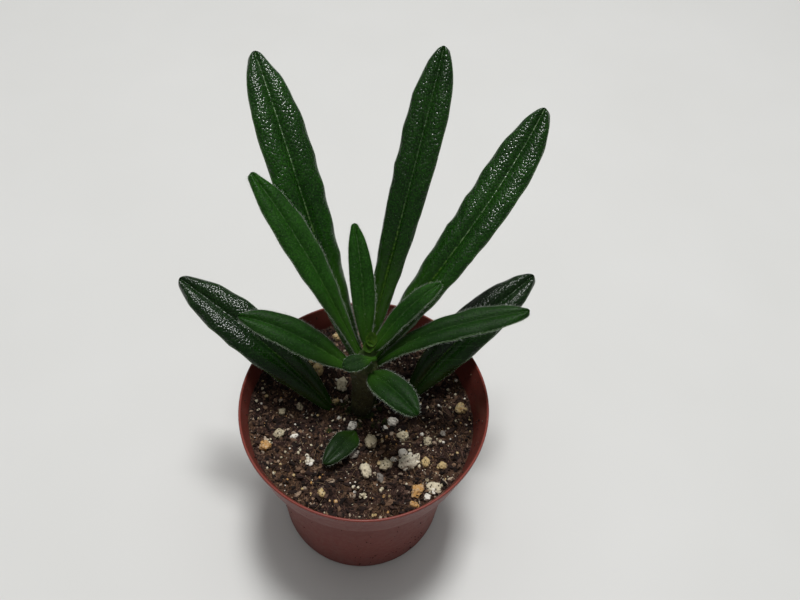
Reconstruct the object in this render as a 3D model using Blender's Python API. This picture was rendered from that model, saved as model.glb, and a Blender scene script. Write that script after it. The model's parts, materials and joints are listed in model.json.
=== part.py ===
"""A young potted primulina: strap leaves round a short stem, in peat in a small thin plastic pot.

The pot stands on z = 0 with its axis on the z axis. Metres, +Z up; the plant's front is towards -Y.
"""

import math
import random
from collections import namedtuple
from dataclasses import dataclass

import bmesh
import bpy
from mathutils import Vector

MM = 0.001
CLEAR = 0.3 * MM

# Pot: a turned shell with a collar that steps out under the rim.
POT_HEIGHT = 58 * MM
RIM_RADIUS = 32 * MM
BASE_RADIUS = 24.25 * MM
POT_WALL = 0.8 * MM
POT_FLOOR = 1.0 * MM
COLLAR_HEIGHT = 12.4 * MM
COLLAR_STEP = 3.6 * MM
COLLAR_TAPER = 1.8 * MM
LIP_HEIGHT = 1.3 * MM
LIP_BULGE = 0.3 * MM
FOOT_ROUND = 1.2 * MM
POT_SIDES = 64
DRAIN_HOLES = 6
DRAIN_RADIUS = 2.5 * MM
DRAIN_CIRCLE = 17 * MM

# Soil: it lies lower at the right than at the left, with low swells.
SOIL_HEIGHT = 50.2 * MM
SOIL_FALL = 2.6 * MM
SWELL = 0.5 * MM
SOIL_RINGS = 8
SOIL_SIDES = 48
STONE_SUNK = 0.3
STONE_FLAT = 0.85
CRUMBS = 26
CRUMB_REACH = 26.5 * MM
CRUMB_SIZE = (1.1 * MM, 1.9 * MM)
SOIL_SEED = 7

# Stem: from its foot in the soil to its top, which leans a little to the right.
STEM_FOOT = Vector((-1.0, 1.4, 46.5)) * MM
STEM_TOP = Vector((0.2, 2.2, 78.0)) * MM
STEM_RADIUS = 2.8 * MM
STEM_SHOULDER = 66 * MM
STEM_TOP_RADIUS = 1.1 * MM
STEM_POINTS = 15
HOLE_CLEAR = 0.4 * MM
HOLE_REACH = 2.5 * MM

# Leaf blade: a groove over the midrib, two raised halves and a margin that turns down.
RIB_THICK = 1.15 * MM
EDGE_THICK = 0.75 * MM
STALK_THICK = 1.7 * MM
STALK_SHARE = 0.3
FOOT_WIDTH = 0.24
GROOVE = 0.045
GROOVE_SPREAD = 0.14
PILLOW = 0.05
MARGIN_DROP = 0.05
VEE = 0.10
WAVE_PITCH = 8.5 * MM
TIP_ROUND = 2.2
TIP_BLUNT = 0.6
TIP_WIDTH = 0.08
TIP_FLAT = 12
ROOTED = 2.5 * MM
ACROSS = 8
ROW_PITCH = 3.1 * MM
FEWEST_ROWS = 7
RIB_CROWD = 1.15
TIP_CROWD = 1.5

# Bud: a tiny pair of leaves, folded face to face.
BUD_SIZE = Vector((3.1, 2.1, 5.8)) * MM
BUD_CLEFT = 0.35
BUD_SHIFT = Vector((0.4, 0.2, 0)) * MM

Foot = namedtuple("Foot", "height angle")
Hole = namedtuple("Hole", "x y")

OLD_GREEN = (0.012, 0.055, 0.016)
YOUNG_GREEN = (0.022, 0.110, 0.024)
PALE_GREEN = (0.050, 0.160, 0.060)
DEEP_GREEN = (0.012, 0.050, 0.026)


@dataclass(frozen=True)
class Leaf:
    """One leaf. Sizes in mm, angles in degrees, and angle 0 heads along +X.

    foot is a Foot on the stem (height, angle round it) or a Hole in the soil (x, y). The leaf heads along
    angle and swings by turn to its tip; rise is its slope at the foot, halfway and at the tip. widest is
    where it is widest, as a share of its length, and fullness below 1 makes it swell early.
    """

    name: str
    foot: tuple
    angle: float
    turn: float
    rise: tuple
    length: float
    width: float
    widest: float
    fullness: float
    roll: float = 0
    wave: float = 0.2
    colour: tuple = YOUNG_GREEN


LEAVES = (
    Leaf("leaf_back_left", Foot(69.9, 123), angle=120.8, turn=-6.5, rise=(40, 49, 27),
         length=76.5, width=11.8, widest=0.70, fullness=0.9, wave=0.35, colour=OLD_GREEN),
    Leaf("leaf_back", Foot(73.2, 82), angle=66.5, turn=7, rise=(62, 51, 44),
         length=72.5, width=9.4, widest=0.76, fullness=0.95, wave=0.30, colour=OLD_GREEN),
    Leaf("leaf_back_right", Foot(69.2, 58), angle=36, turn=19.5, rise=(53.5, 36, 42),
         length=73.2, width=11.3, widest=0.72, fullness=0.8, roll=-3.5, wave=0.35, colour=OLD_GREEN),
    Leaf("leaf_left_upper", Foot(74.5, 140), angle=135.5, turn=3, rise=(56, 49, 32.5),
         length=49, width=8.0, widest=0.62, fullness=1.6, roll=3),
    Leaf("leaf_back_young", Foot(77, 97.5), angle=95.5, turn=10, rise=(67.5, 55, 44),
         length=29.5, width=5.7, widest=0.51, fullness=0.8, wave=0.15),
    Leaf("leaf_right_young", Foot(76.2, 34), angle=33, turn=-10, rise=(59.5, 44, 27),
         length=23.3, width=5.5, widest=0.60, fullness=0.6, wave=0.15),
    Leaf("leaf_right", Foot(71.2, 12), angle=6.3, turn=2.5, rise=(60, 21, 5),
         length=40, width=7.3, widest=0.66, fullness=0.9),
    Leaf("leaf_left_front", Foot(69.8, 176), angle=166.5, turn=4.5, rise=(33, 30.5, -1.5),
         length=30.5, width=8.1, widest=0.49, fullness=1.0, roll=13),
    Leaf("leaf_front_smallest", Foot(77, 292), angle=206, turn=-8, rise=(19, 10, -30),
         length=7.2, width=4.7, widest=0.58, fullness=1.0, wave=0.1, colour=PALE_GREEN),
    Leaf("leaf_front_right", Foot(71, 305), angle=311.5, turn=-1.5, rise=(25, 10, -15.5),
         length=16.5, width=7.8, widest=0.43, fullness=0.4, wave=0.15),
    Leaf("leaf_left_low", Hole(-9.8, 2.1), angle=152, turn=-4.5, rise=(53, 27, 12.5),
         length=51.7, width=11.9, widest=0.57, fullness=0.9, roll=15.5, wave=0.35, colour=OLD_GREEN),
    Leaf("leaf_right_low", Hole(12.5, 6.8), angle=34.5, turn=-1, rise=(62.5, 32.5, 23),
         length=47.6, width=11.6, widest=0.52, fullness=0.9, roll=-13.5, wave=0.35, colour=OLD_GREEN),
    Leaf("leaf_front_low", Hole(-2.6, -5.9), angle=244, turn=-14.5, rise=(42, 18, -10.5),
         length=13.9, width=6.4, widest=0.31, fullness=1.2, roll=3.5, wave=0.1, colour=DEEP_GREEN),
)

# Main granules, laid out by eye: x, y and size in mm.
STONES = (
    (11.8, -12.9, 5.0), (0.7, -16.2, 3.4), (5.5, -14.3, 3.3), (4.2, -17.6, 2.2), (1.8, -8.3, 3.4),
    (7.5, -2.2, 2.6), (-13.7, -14.1, 3.6), (-24.8, -10.6, 3.4), (13.5, -21.0, 3.6), (12.8, -24.6, 2.2),
    (17.6, -19.8, 3.4), (15.8, -13.4, 2.8), (20.2, -13.7, 2.2), (16.7, -6.9, 3.2), (10.1, -6.0, 3.6),
    (26.2, 3.2, 3.2), (-6.3, 8.8, 3.0), (-13.0, 12.0, 3.4), (-8.2, 24.2, 2.8), (-21.7, -7.1, 2.8),
    (-2.6, -19.6, 3.0), (-10.1, -22.6, 2.2), (-17.5, -3.0, 2.2),
)


def clear_scene():
    for obj in list(bpy.data.objects):
        bpy.data.objects.remove(obj, do_unlink=True)


def material(name, colour, roughness):
    made = bpy.data.materials.new(name)
    made.use_nodes = True
    shader = made.node_tree.nodes["Principled BSDF"]
    shader.inputs["Base Color"].default_value = (*colour, 1.0)
    shader.inputs["Roughness"].default_value = roughness
    shader.inputs["Metallic"].default_value = 0.0
    return made


def mesh_object(name, bm, finish):
    """An object from this bmesh, its faces turned outwards."""
    bmesh.ops.recalc_face_normals(bm, faces=bm.faces)
    mesh = bpy.data.meshes.new(name)
    bm.to_mesh(mesh)
    bm.free()
    obj = bpy.data.objects.new(name, mesh)
    bpy.context.scene.collection.objects.link(obj)
    mesh.materials.append(finish)
    return obj


def shade(obj):
    obj.data.shade_smooth()
    obj.data.set_sharp_from_angle(angle=math.radians(40))


def turned(profile, sides):
    """A closed bmesh from (radius, height) points that start and end on the z axis."""
    bm = bmesh.new()
    points = [bm.verts.new((radius, 0, height)) for radius, height in profile]
    edges = [bm.edges.new(pair) for pair in zip(points, points[1:])]
    bmesh.ops.spin(
        bm,
        geom=points + edges,
        cent=(0, 0, 0),
        axis=(0, 0, 1),
        angle=math.tau,
        steps=sides,
        use_merge=True,
    )
    bmesh.ops.remove_doubles(bm, verts=bm.verts, dist=0.001 * MM)
    return bm


def body_radius(height):
    """The pot's outer radius below its collar."""
    top = RIM_RADIUS - LIP_BULGE - COLLAR_TAPER - COLLAR_STEP
    return BASE_RADIUS + (top - BASE_RADIUS) * height / (POT_HEIGHT - COLLAR_HEIGHT)


def inner_radius(height):
    """The pot's inner radius, which steps out behind the collar."""
    collar_foot = POT_HEIGHT - COLLAR_HEIGHT + POT_WALL
    if height < collar_foot:
        return body_radius(height) - POT_WALL
    climbed = (height - collar_foot) / (POT_HEIGHT - collar_foot)
    return RIM_RADIUS - LIP_BULGE - COLLAR_TAPER * (1 - climbed) - POT_WALL


def pot_profile():
    collar_foot = POT_HEIGHT - COLLAR_HEIGHT
    inner_step = collar_foot + POT_WALL
    wall_top = RIM_RADIUS - LIP_BULGE
    lip_middle = POT_HEIGHT - LIP_HEIGHT / 2
    inside = [
        (0, POT_FLOOR),
        (inner_radius(POT_FLOOR) - FOOT_ROUND, POT_FLOOR),
        (inner_radius(2 * POT_FLOOR), 2 * POT_FLOOR),
        (inner_radius(inner_step - 0.1 * MM), inner_step - 0.4 * MM),
        (inner_radius(inner_step), inner_step + 0.4 * MM),
        (inner_radius(lip_middle), lip_middle),
    ]
    lip = [
        (wall_top - POT_WALL + 0.2 * MM, POT_HEIGHT - 0.15 * MM),
        (RIM_RADIUS - 0.55 * MM, POT_HEIGHT),
        (RIM_RADIUS - 0.15 * MM, POT_HEIGHT - 0.2 * MM),
        (RIM_RADIUS, lip_middle),
        (wall_top, POT_HEIGHT - LIP_HEIGHT),
    ]
    outside = [
        (wall_top - COLLAR_TAPER + 0.1 * MM, collar_foot + 0.3 * MM),
        (wall_top - COLLAR_TAPER - 0.1 * MM, collar_foot),
        (body_radius(collar_foot), collar_foot - 0.2 * MM),
        (body_radius(FOOT_ROUND), FOOT_ROUND),
        (BASE_RADIUS - 0.35 * FOOT_ROUND, 0.3 * FOOT_ROUND),
        (BASE_RADIUS - FOOT_ROUND, 0),
        (0, 0),
    ]
    return inside + lip + outside


def cutter(name, bm, collection):
    """A hidden object that a Boolean takes away."""
    obj = mesh_object(name, bm, material(name, (0.5, 0.5, 0.5), 0.5))
    bpy.context.scene.collection.objects.unlink(obj)
    collection.objects.link(obj)
    obj.hide_render = True
    obj.display_type = "WIRE"
    return obj


def new_collection(name):
    made = bpy.data.collections.new(name)
    bpy.context.scene.collection.children.link(made)
    return made


def rod(foot, way, radius, length, sides):
    """A closed straight rod from foot along way."""
    bm = bmesh.new()
    bmesh.ops.create_cone(
        bm, cap_ends=True, segments=sides, radius1=radius, radius2=radius, depth=length
    )
    turn = Vector((0, 0, 1)).rotation_difference(way).to_matrix()
    bmesh.ops.rotate(bm, verts=bm.verts, cent=(0, 0, 0), matrix=turn)
    bmesh.ops.translate(bm, verts=bm.verts, vec=foot + way.normalized() * length / 2)
    return bm


def boolean(obj, operation, collection):
    change = obj.modifiers.new(operation.lower(), "BOOLEAN")
    change.operation = operation
    change.operand_type = "COLLECTION"
    change.collection = collection
    change.solver = "EXACT"
    return change


def apply_modifiers(obj):
    graph = bpy.context.evaluated_depsgraph_get()
    mesh = bpy.data.meshes.new_from_object(obj.evaluated_get(graph))
    obj.modifiers.clear()
    obj.data = mesh


def build_pot():
    plastic = material("brick_red_plastic", (0.28, 0.045, 0.028), 0.38)
    obj = mesh_object("pot", turned(pot_profile(), POT_SIDES), plastic)
    shade(obj)
    drains = new_collection("drain_cutters")
    for index in range(DRAIN_HOLES):
        angle = math.tau * (index + 0.5) / DRAIN_HOLES
        centre = Vector((math.cos(angle), math.sin(angle), 0)) * DRAIN_CIRCLE
        foot = centre - Vector((0, 0, POT_FLOOR))
        hole = rod(foot, Vector((0, 0, 1)), DRAIN_RADIUS, 3 * POT_FLOOR, 16)
        cutter("drain_cutter_%d" % index, hole, drains)
    boolean(obj, "DIFFERENCE", drains)


def soil_height(x, y):
    """The soil's surface: a fall to the right and low swells that die out at the wall."""
    reach = min(1.0, math.hypot(x, y) / RIM_RADIUS)
    swell = math.sin(x / (4.1 * MM) + 1.0) * math.cos(y / (5.3 * MM))
    swell += 0.6 * math.sin((x + y) / (7.7 * MM) + 2.0)
    return SOIL_HEIGHT - SOIL_FALL * x / (30 * MM) + SWELL * swell * (1 - reach**4)


def soil_profile():
    """The fill under a level top, which is shaped afterwards."""
    floor = POT_FLOOR + CLEAR
    step = POT_HEIGHT - COLLAR_HEIGHT + POT_WALL
    top_radius = inner_radius(step) - 1.2 * CLEAR
    top = [(top_radius * ring / SOIL_RINGS, SOIL_HEIGHT) for ring in range(SOIL_RINGS + 1)]
    side = [
        (top_radius, step + 0.7 * MM),
        (inner_radius(step - 0.5 * MM) - 1.2 * CLEAR, step - 0.1 * MM),
        (inner_radius(2 * POT_FLOOR) - 1.5 * CLEAR, floor + 1.2 * MM),
        (inner_radius(POT_FLOOR) - FOOT_ROUND - CLEAR, floor),
        (0, floor),
    ]
    return top + side


def stone(x, y, size, rng):
    """One granule, a faceted lump sunk into the soil."""
    bm = bmesh.new()
    bmesh.ops.create_icosphere(bm, subdivisions=1, radius=size * MM / 2)
    stretch = [rng.uniform(0.8, 1.15) for _ in range(3)]
    for vertex in bm.verts:
        vertex.co *= rng.uniform(0.86, 1.1)
        vertex.co.x *= stretch[0]
        vertex.co.y *= stretch[1]
        vertex.co.z *= STONE_FLAT * stretch[2]
    lift = size * MM * (0.5 - STONE_SUNK) * STONE_FLAT
    centre = Vector((x * MM, y * MM, soil_height(x * MM, y * MM) + lift))
    bmesh.ops.translate(bm, verts=bm.verts, vec=centre)
    return bm


def crumb_places(rng):
    """Seeded places of the small crumbs, clear of the main granules, the stem and the wall."""
    taken = [(x * MM, y * MM, size * MM / 2) for x, y, size in STONES]
    taken.append((STEM_FOOT.x, STEM_FOOT.y, 2 * STEM_RADIUS))
    taken += [(hole.x, hole.y, 3.2 * MM) for hole in soil_holes()]
    found = []
    while len(found) < CRUMBS:
        reach = CRUMB_REACH * math.sqrt(rng.random())
        angle = rng.uniform(0, math.tau)
        x, y = reach * math.cos(angle), reach * math.sin(angle)
        size = rng.uniform(*CRUMB_SIZE)
        if all(math.hypot(x - a, y - b) > c + size for a, b, c in taken):
            found.append((x / MM, y / MM, size / MM))
            taken.append((x, y, size / 2))
    return found


def soil_holes():
    """Where leaves rise from the soil."""
    return [leaf_foot(leaf) for leaf in LEAVES if isinstance(leaf.foot, Hole)]


def build_soil():
    peat = material("peat", (0.030, 0.019, 0.013), 0.95)
    bm = turned(soil_profile(), SOIL_SIDES)
    for vertex in bm.verts:
        if vertex.co.z > SOIL_HEIGHT - 0.01 * MM:
            vertex.co.z = soil_height(vertex.co.x, vertex.co.y)
    obj = mesh_object("soil", bm, peat)
    rng = random.Random(SOIL_SEED)
    stones = new_collection("stones")
    for x, y, size in list(STONES) + crumb_places(rng):
        cutter("stone", stone(x, y, size, rng), stones)
    boolean(obj, "UNION", stones)
    apply_modifiers(obj)
    for lump in list(stones.objects):
        bpy.data.objects.remove(lump, do_unlink=True)
    holes = new_collection("hole_cutters")
    well = STEM_FOOT - Vector((0, 0, HOLE_CLEAR))
    stem_way = STEM_TOP - STEM_FOOT
    cutter("stem_hole", rod(well, stem_way, STEM_RADIUS + HOLE_CLEAR, 14 * MM, 24), holes)
    for leaf in LEAVES:
        if isinstance(leaf.foot, Hole):
            cutter(leaf.name + "_hole", leaf_hole(leaf), holes)
    boolean(obj, "DIFFERENCE", holes)


def stem_axis(height):
    share = (height - STEM_FOOT.z) / (STEM_TOP.z - STEM_FOOT.z)
    return STEM_FOOT.lerp(STEM_TOP, share)


def stem_radius(height):
    """Even up to the shoulder, then narrowing to the top."""
    if height <= STEM_SHOULDER:
        return STEM_RADIUS
    share = (height - STEM_SHOULDER) / (STEM_TOP.z - STEM_SHOULDER)
    return STEM_RADIUS + (STEM_TOP_RADIUS - STEM_RADIUS) * share**1.4


def build_stem():
    bark = material("brownish_green_stem", (0.055, 0.055, 0.022), 0.6)
    curve = bpy.data.curves.new("stem", "CURVE")
    curve.dimensions = "3D"
    curve.bevel_depth = STEM_RADIUS
    curve.bevel_resolution = 4
    curve.use_fill_caps = True
    line = curve.splines.new("POLY")
    line.points.add(STEM_POINTS - 1)
    for index, point in enumerate(line.points):
        height = STEM_FOOT.z + (STEM_TOP.z - STEM_FOOT.z) * index / (STEM_POINTS - 1)
        point.co = (*stem_axis(height), 1.0)
        point.radius = stem_radius(height) / STEM_RADIUS
    curve.materials.append(bark)
    obj = bpy.data.objects.new("stem", curve)
    bpy.context.scene.collection.objects.link(obj)


def heading(angle, slope):
    """The unit vector at these degrees round from +X and up from level."""
    across = math.cos(math.radians(slope))
    return Vector(
        (
            across * math.cos(math.radians(angle)),
            across * math.sin(math.radians(angle)),
            math.sin(math.radians(slope)),
        )
    )


def leaf_foot(leaf):
    """The middle of the leaf's foot: just off the stem, or on the soil."""
    if isinstance(leaf.foot, Hole):
        x, y = leaf.foot.x * MM, leaf.foot.y * MM
        return Vector((x, y, soil_height(x, y)))
    height = leaf.foot.height * MM
    lean = math.sin(math.radians(leaf.rise[0]))
    skew = math.sin(math.radians(leaf.angle - leaf.foot.angle))
    away = stem_radius(height) + 1.3 * CLEAR
    away += STALK_THICK / 2 * abs(lean) + half_width(leaf, 0) * abs(skew)
    return stem_axis(height) + heading(leaf.foot.angle, 0) * away


def leaf_slope(leaf, share):
    """The slope in degrees, a curve through its values at the foot, halfway and at the tip."""
    foot, middle, tip = leaf.rise
    start = (1 - share) * (1 - 2 * share)
    half = 4 * share * (1 - share)
    end = share * (2 * share - 1)
    return foot * start + middle * half + tip * end


def midrib(leaf, steps=200):
    """Points from the leaf's foot to its tip."""
    point = leaf_foot(leaf)
    points = [point]
    for index in range(steps):
        share = (index + 0.5) / steps
        way = heading(leaf.angle + leaf.turn * share, leaf_slope(leaf, share))
        point = point + way * leaf.length * MM / steps
        points.append(point)
    return points


def blade_share(share):
    """How far the stalk has become a blade: 0 at the foot and 1 from STALK_SHARE on."""
    done = min(1.0, max(0.0, share / STALK_SHARE))
    return done * done * (3 - 2 * done)


def half_width(leaf, share):
    """Half the blade's width: it swells to its widest place and rounds to the tip."""
    share = max(0.0, share)
    if share < leaf.widest:
        swell = math.sin(math.pi / 2 * share / leaf.widest) ** leaf.fullness
        part = FOOT_WIDTH + (1 - FOOT_WIDTH) * swell
    else:
        past = (share - leaf.widest) / (1 - leaf.widest)
        part = max(TIP_WIDTH, (1 - min(1.0, past) ** TIP_ROUND) ** TIP_BLUNT)
    return part * leaf.width * MM / 2


def section_height(leaf, share, across, half):
    """How far the top face lies over the midrib's line at this place across, from -1 to 1."""
    out = abs(across)
    full = blade_share(share)
    groove = -GROOVE * leaf.width * MM * math.exp(-((out / GROOVE_SPREAD) ** 2))
    groove *= 1 - max(0.0, share) ** TIP_FLAT
    pillow = PILLOW * leaf.width * MM * math.sin(math.pi * out) * full
    drop = -MARGIN_DROP * leaf.width * MM * out**4 * full
    vee = VEE * half * out
    phase = math.tau * share * leaf.length * MM / WAVE_PITCH + (1.3 if across > 0 else 0.0)
    wave = leaf.wave * MM * out**2 * math.sin(phase) * full
    return groove + pillow + drop + vee + wave


def thickness(share, across):
    rib = STALK_THICK + (RIB_THICK - STALK_THICK) * blade_share(share)
    return EDGE_THICK + (rib - EDGE_THICK) * (1 - across**2)


class LeafFrame:
    """Where a place on the leaf, given by its share of the length and across, lies."""

    def __init__(self, leaf):
        self.leaf = leaf
        self.points = midrib(leaf)

    def at(self, share):
        """The midrib's point, its side direction and its upward direction."""
        last = len(self.points) - 1
        place = min(max(share, 0.0), 1.0) * last
        index = min(int(place), last - 1)
        first, second = self.points[index], self.points[index + 1]
        way = (second - first).normalized()
        point = first.lerp(second, place - index)
        if share < 0:
            point = point + way * share * self.leaf.length * MM
        level = way.cross(Vector((0, 0, 1))).normalized()
        lift = level.cross(way)
        roll = math.radians(self.leaf.roll)
        side = level * math.cos(roll) + lift * math.sin(roll)
        return point, side, side.cross(way)

    def place(self, share, across, is_top):
        point, side, lift = self.at(share)
        half = half_width(self.leaf, share)
        height = section_height(self.leaf, share, across, half)
        height += thickness(share, 0) / 2
        if not is_top:
            height -= thickness(share, across)
        return point + side * across * half + lift * height


def leaf_hole(leaf):
    """The plain slanted hole that a leaf's stalk stands in."""
    frame = LeafFrame(leaf)
    way = frame.points[1] - frame.points[0]
    radius = max(half_width(leaf, HOLE_REACH / (leaf.length * MM)), STALK_THICK / 2) + HOLE_CLEAR
    depth = ROOTED + HOLE_CLEAR
    foot = frame.points[0] - way.normalized() * depth
    return rod(foot, way, radius, depth + 6 * MM, 16)


def build_leaf(leaf):
    """A flat slab of triangles, alike on both faces, with each corner moved to its place on the leaf."""
    frame = LeafFrame(leaf)
    rooted = ROOTED / (leaf.length * MM) if isinstance(leaf.foot, Hole) else 0.0
    rows = max(FEWEST_ROWS, round(leaf.length * MM / ROW_PITCH))
    bm = bmesh.new()
    bmesh.ops.create_grid(bm, x_segments=ACROSS, y_segments=rows, size=1.0)
    bmesh.ops.triangulate(bm, faces=bm.faces, quad_method="ALTERNATE")
    bmesh.ops.solidify(bm, geom=bm.faces, thickness=0.5)
    top = max(vertex.co.z for vertex in bm.verts)
    for vertex in bm.verts:
        across = math.copysign(abs(vertex.co.x) ** RIB_CROWD, vertex.co.x)
        along = 1 - (1 - (vertex.co.y + 1) / 2) ** TIP_CROWD
        share = -rooted + (1 + rooted) * along
        vertex.co = frame.place(share, across, vertex.co.z > top - 0.1)
    finish = material(leaf.name, leaf.colour, 0.45)
    shade(mesh_object(leaf.name, bm, finish))


def build_bud():
    """Two tiny leaves, face to face, as one upright lens with a cleft down its front."""
    bm = bmesh.new()
    bmesh.ops.create_uvsphere(bm, u_segments=16, v_segments=10, radius=0.5)
    for vertex in bm.verts:
        x, y, z = vertex.co * 2
        cleft = BUD_CLEFT * math.exp(-((x / 0.3) ** 2)) * max(0.0, z + 0.4)
        width = 1 - 0.25 * max(0.0, z)
        depth = 1 - cleft if y < 0 else 1.0
        vertex.co = Vector((x * width, y * depth, z)) / 2
        vertex.co.x *= BUD_SIZE.x
        vertex.co.y *= BUD_SIZE.y
        vertex.co.z *= BUD_SIZE.z
    lift = Vector((0, 0, CLEAR + BUD_SIZE.z / 2))
    bmesh.ops.translate(bm, verts=bm.verts, vec=STEM_TOP + BUD_SHIFT + lift)
    shade(mesh_object("bud", bm, material("bud_green", (0.12, 0.30, 0.03), 0.5)))


def main():
    clear_scene()
    build_pot()
    build_soil()
    build_stem()
    for leaf in LEAVES:
        build_leaf(leaf)
    build_bud()


main()
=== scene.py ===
"""The looks of a young potted primulina: strap leaves, peat, granules and a thin plastic pot.

Metres, +Z up. The pot stands on z = 0 with its axis on the z axis, and the plant's front is towards -Y.
"""

import json
import math
import random
from collections import namedtuple
from dataclasses import dataclass

import bmesh
import bpy
from mathutils import Matrix, Vector, noise

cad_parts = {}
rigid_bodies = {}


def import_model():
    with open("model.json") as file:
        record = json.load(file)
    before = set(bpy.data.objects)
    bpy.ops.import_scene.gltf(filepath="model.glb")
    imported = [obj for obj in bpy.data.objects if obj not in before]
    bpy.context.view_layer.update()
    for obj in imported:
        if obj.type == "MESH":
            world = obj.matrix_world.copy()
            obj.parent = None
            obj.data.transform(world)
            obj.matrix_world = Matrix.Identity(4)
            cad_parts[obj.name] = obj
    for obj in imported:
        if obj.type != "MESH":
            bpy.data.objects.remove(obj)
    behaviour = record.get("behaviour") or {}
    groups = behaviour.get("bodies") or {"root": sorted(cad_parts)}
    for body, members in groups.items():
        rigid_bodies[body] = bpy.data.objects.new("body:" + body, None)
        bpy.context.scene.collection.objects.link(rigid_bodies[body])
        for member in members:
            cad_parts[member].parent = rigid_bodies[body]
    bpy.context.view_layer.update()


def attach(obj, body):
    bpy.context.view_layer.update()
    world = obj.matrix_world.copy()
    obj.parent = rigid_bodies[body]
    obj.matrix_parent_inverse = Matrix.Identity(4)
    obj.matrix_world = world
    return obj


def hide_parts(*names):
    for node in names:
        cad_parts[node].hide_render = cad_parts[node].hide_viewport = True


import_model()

MM = 0.001
UP = Vector((0, 0, 1))

# Camera: where it stands, in degrees how far it looks down, turns right and tilts, and its lens in mm.
CAMERA_PLACE = Vector((0, -90.4, 216.1)) * MM
CAMERA_DOWN = 52.0
CAMERA_RIGHT = 4.36
CAMERA_TILT = 4.77
CAMERA_LENS = 31.5

# Stage: half the floor's side, what the lamps shine at, and the strength of the light from all round.
FLOOR_REACH = 1.5
LAMP_AIM = Vector((0, 0, 0.05))
ALL_ROUND = 0.14

# Pot: a turned shell with a collar that steps out under the rim.
POT_HEIGHT = 58 * MM
RIM_RADIUS = 32 * MM
BASE_RADIUS = 24.25 * MM
POT_WALL = 0.8 * MM
POT_FLOOR = 1.0 * MM
COLLAR_HEIGHT = 12.4 * MM
COLLAR_STEP = 3.6 * MM
COLLAR_TAPER = 1.8 * MM
LIP_HEIGHT = 1.3 * MM
LIP_BULGE = 0.3 * MM
FOOT_ROUND = 1.2 * MM
COLLAR_ROUND = 0.35 * MM
POT_SIDES = 160
POT_CREASE = 38
DRAIN_HOLES = 6
DRAIN_RADIUS = 2.5 * MM
DRAIN_CIRCLE = 17 * MM

# Soil: it lies lower at the right than at the left, with low swells.
SOIL_HEIGHT = 50.2 * MM
SOIL_FALL = 2.6 * MM
SWELL = 0.5 * MM
SOIL_RADIUS = 29.8 * MM
SOIL_RINGS = 84
SOIL_SIDES = 260
CLOD_SIZE = 2.6 * MM
CLOD_HEIGHT = 1.0 * MM
GRAIN_SIZE = 0.95 * MM
GRAIN_HEIGHT = 0.42 * MM
SOIL_CREASE = 60
FLOOR_GAP = 0.3 * MM
WALL_GAP = 0.35 * MM
# Painted shade: the peat and its crumbs are darkest here, behind the stem on the right, under the leaves.
PAINTED_SHADE_PLACE = Vector((9, 7, 50)) * MM
CRUMBS = 6400
FIBRES = 520
GRAINS = 720
MOSS_TUFTS = 26
MOSS_STRANDS = 34
BODY_SPECKS = 46
FOOT_SPECKS = 38
INNER_SPECKS = 70
BIG_LUMPS = 6
SMALL_LUMPS = 4

# Stem: from its foot in the soil to its top, which leans a little to the right.
STEM_FOOT = Vector((-1.0, 1.4, 46.5)) * MM
STEM_TOP = Vector((0.2, 2.2, 78.0)) * MM
STEM_RADIUS = 2.8 * MM
STEM_SHOULDER = 66 * MM
STEM_TOP_RADIUS = 1.1 * MM
STEM_STEPS = 76
STEM_SIDES = 56
STEM_HAIRS = 620
BASE_SWELL = 0.42
BASE_RUN = 4.5
BASE_ANGLE = 36

# Leaf blade: a groove over the midrib, two raised halves and a margin that turns down.
RIB_THICK = 1.15 * MM
EDGE_THICK = 0.6 * MM
STALK_THICK = 1.7 * MM
STALK_SHARE = 0.3
FOOT_WIDTH = 0.24
GROOVE = 0.034
GROOVE_SPREAD = 0.17
PILLOW = 0.05
MARGIN_DROP = 0.05
VEE = 0.10
WAVE_PITCH = 8.5 * MM
TIP_ROUND = 2.2
TIP_BLUNT = 0.6
TIP_CAP = 0.135
TIP_FULL = 1.1
TIP_BLEND = 6
TIP_FLAT = 7
ROUND_MARGIN = 0.12
ROOTED = 2.5 * MM
JOINED = 1.3 * MM
STEM_GAP = 0.4 * MM
ACROSS = 32
ROW_PITCH = 0.55 * MM
ROW_CROWD = 1.3
SIDE_CROWD = 0.6
VEIN_PITCH = 5.2 * MM
VEIN_SLANT = 1.1
SIDE_SHIFT = 0.37
SCALLOP_PITCH = 7.5 * MM
HAIR_BENDS = (0.05, 0.2, 0.38)

# Bud: two tiny cupped leaves at the stem's top.
BUD_PLACE = STEM_TOP + Vector((0.7, 0.2, -1.9)) * MM

Foot = namedtuple("Foot", "height angle")
Hole = namedtuple("Hole", "x y")


@dataclass(frozen=True)
class Leaf:
    """One leaf. Sizes in mm, angles in degrees, and angle 0 heads along +X.

    foot is a Foot on the stem (height, angle round it) or a Hole in the soil (x, y). The leaf heads along
    angle and swings by turn to its tip; rise is its slope at the foot, halfway and at the tip. widest is
    where it is widest, as a share of its length, and fullness below 1 makes it swell early. deep is painted
    shade: it makes the green darker, from 0 to 1, on the leaves that the light reaches less.
    """

    name: str
    age: str
    foot: tuple
    angle: float
    turn: float
    rise: tuple
    length: float
    width: float
    widest: float
    fullness: float
    roll: float = 0
    wave: float = 0.2
    deep: float = 0


@dataclass(frozen=True)
class Coat:
    """The surface of leaves of one age: relief and hairs, in mm, and hairs per square mm."""

    scallop: float
    quilt: float
    fringe: float
    fringe_pitch: float
    down: float
    down_count: float


COATS = {
    "old": Coat(scallop=0.28, quilt=0.045, fringe=0.30, fringe_pitch=0.16, down=0.20, down_count=1.0),
    "young": Coat(scallop=0.05, quilt=0.05, fringe=0.62, fringe_pitch=0.07, down=0.30, down_count=2.6),
    "newest": Coat(scallop=0.0, quilt=0.02, fringe=0.34, fringe_pitch=0.07, down=0.24, down_count=5.0),
    "deep": Coat(scallop=0.04, quilt=0.04, fringe=0.42, fringe_pitch=0.10, down=0.25, down_count=2.5),
}

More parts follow.
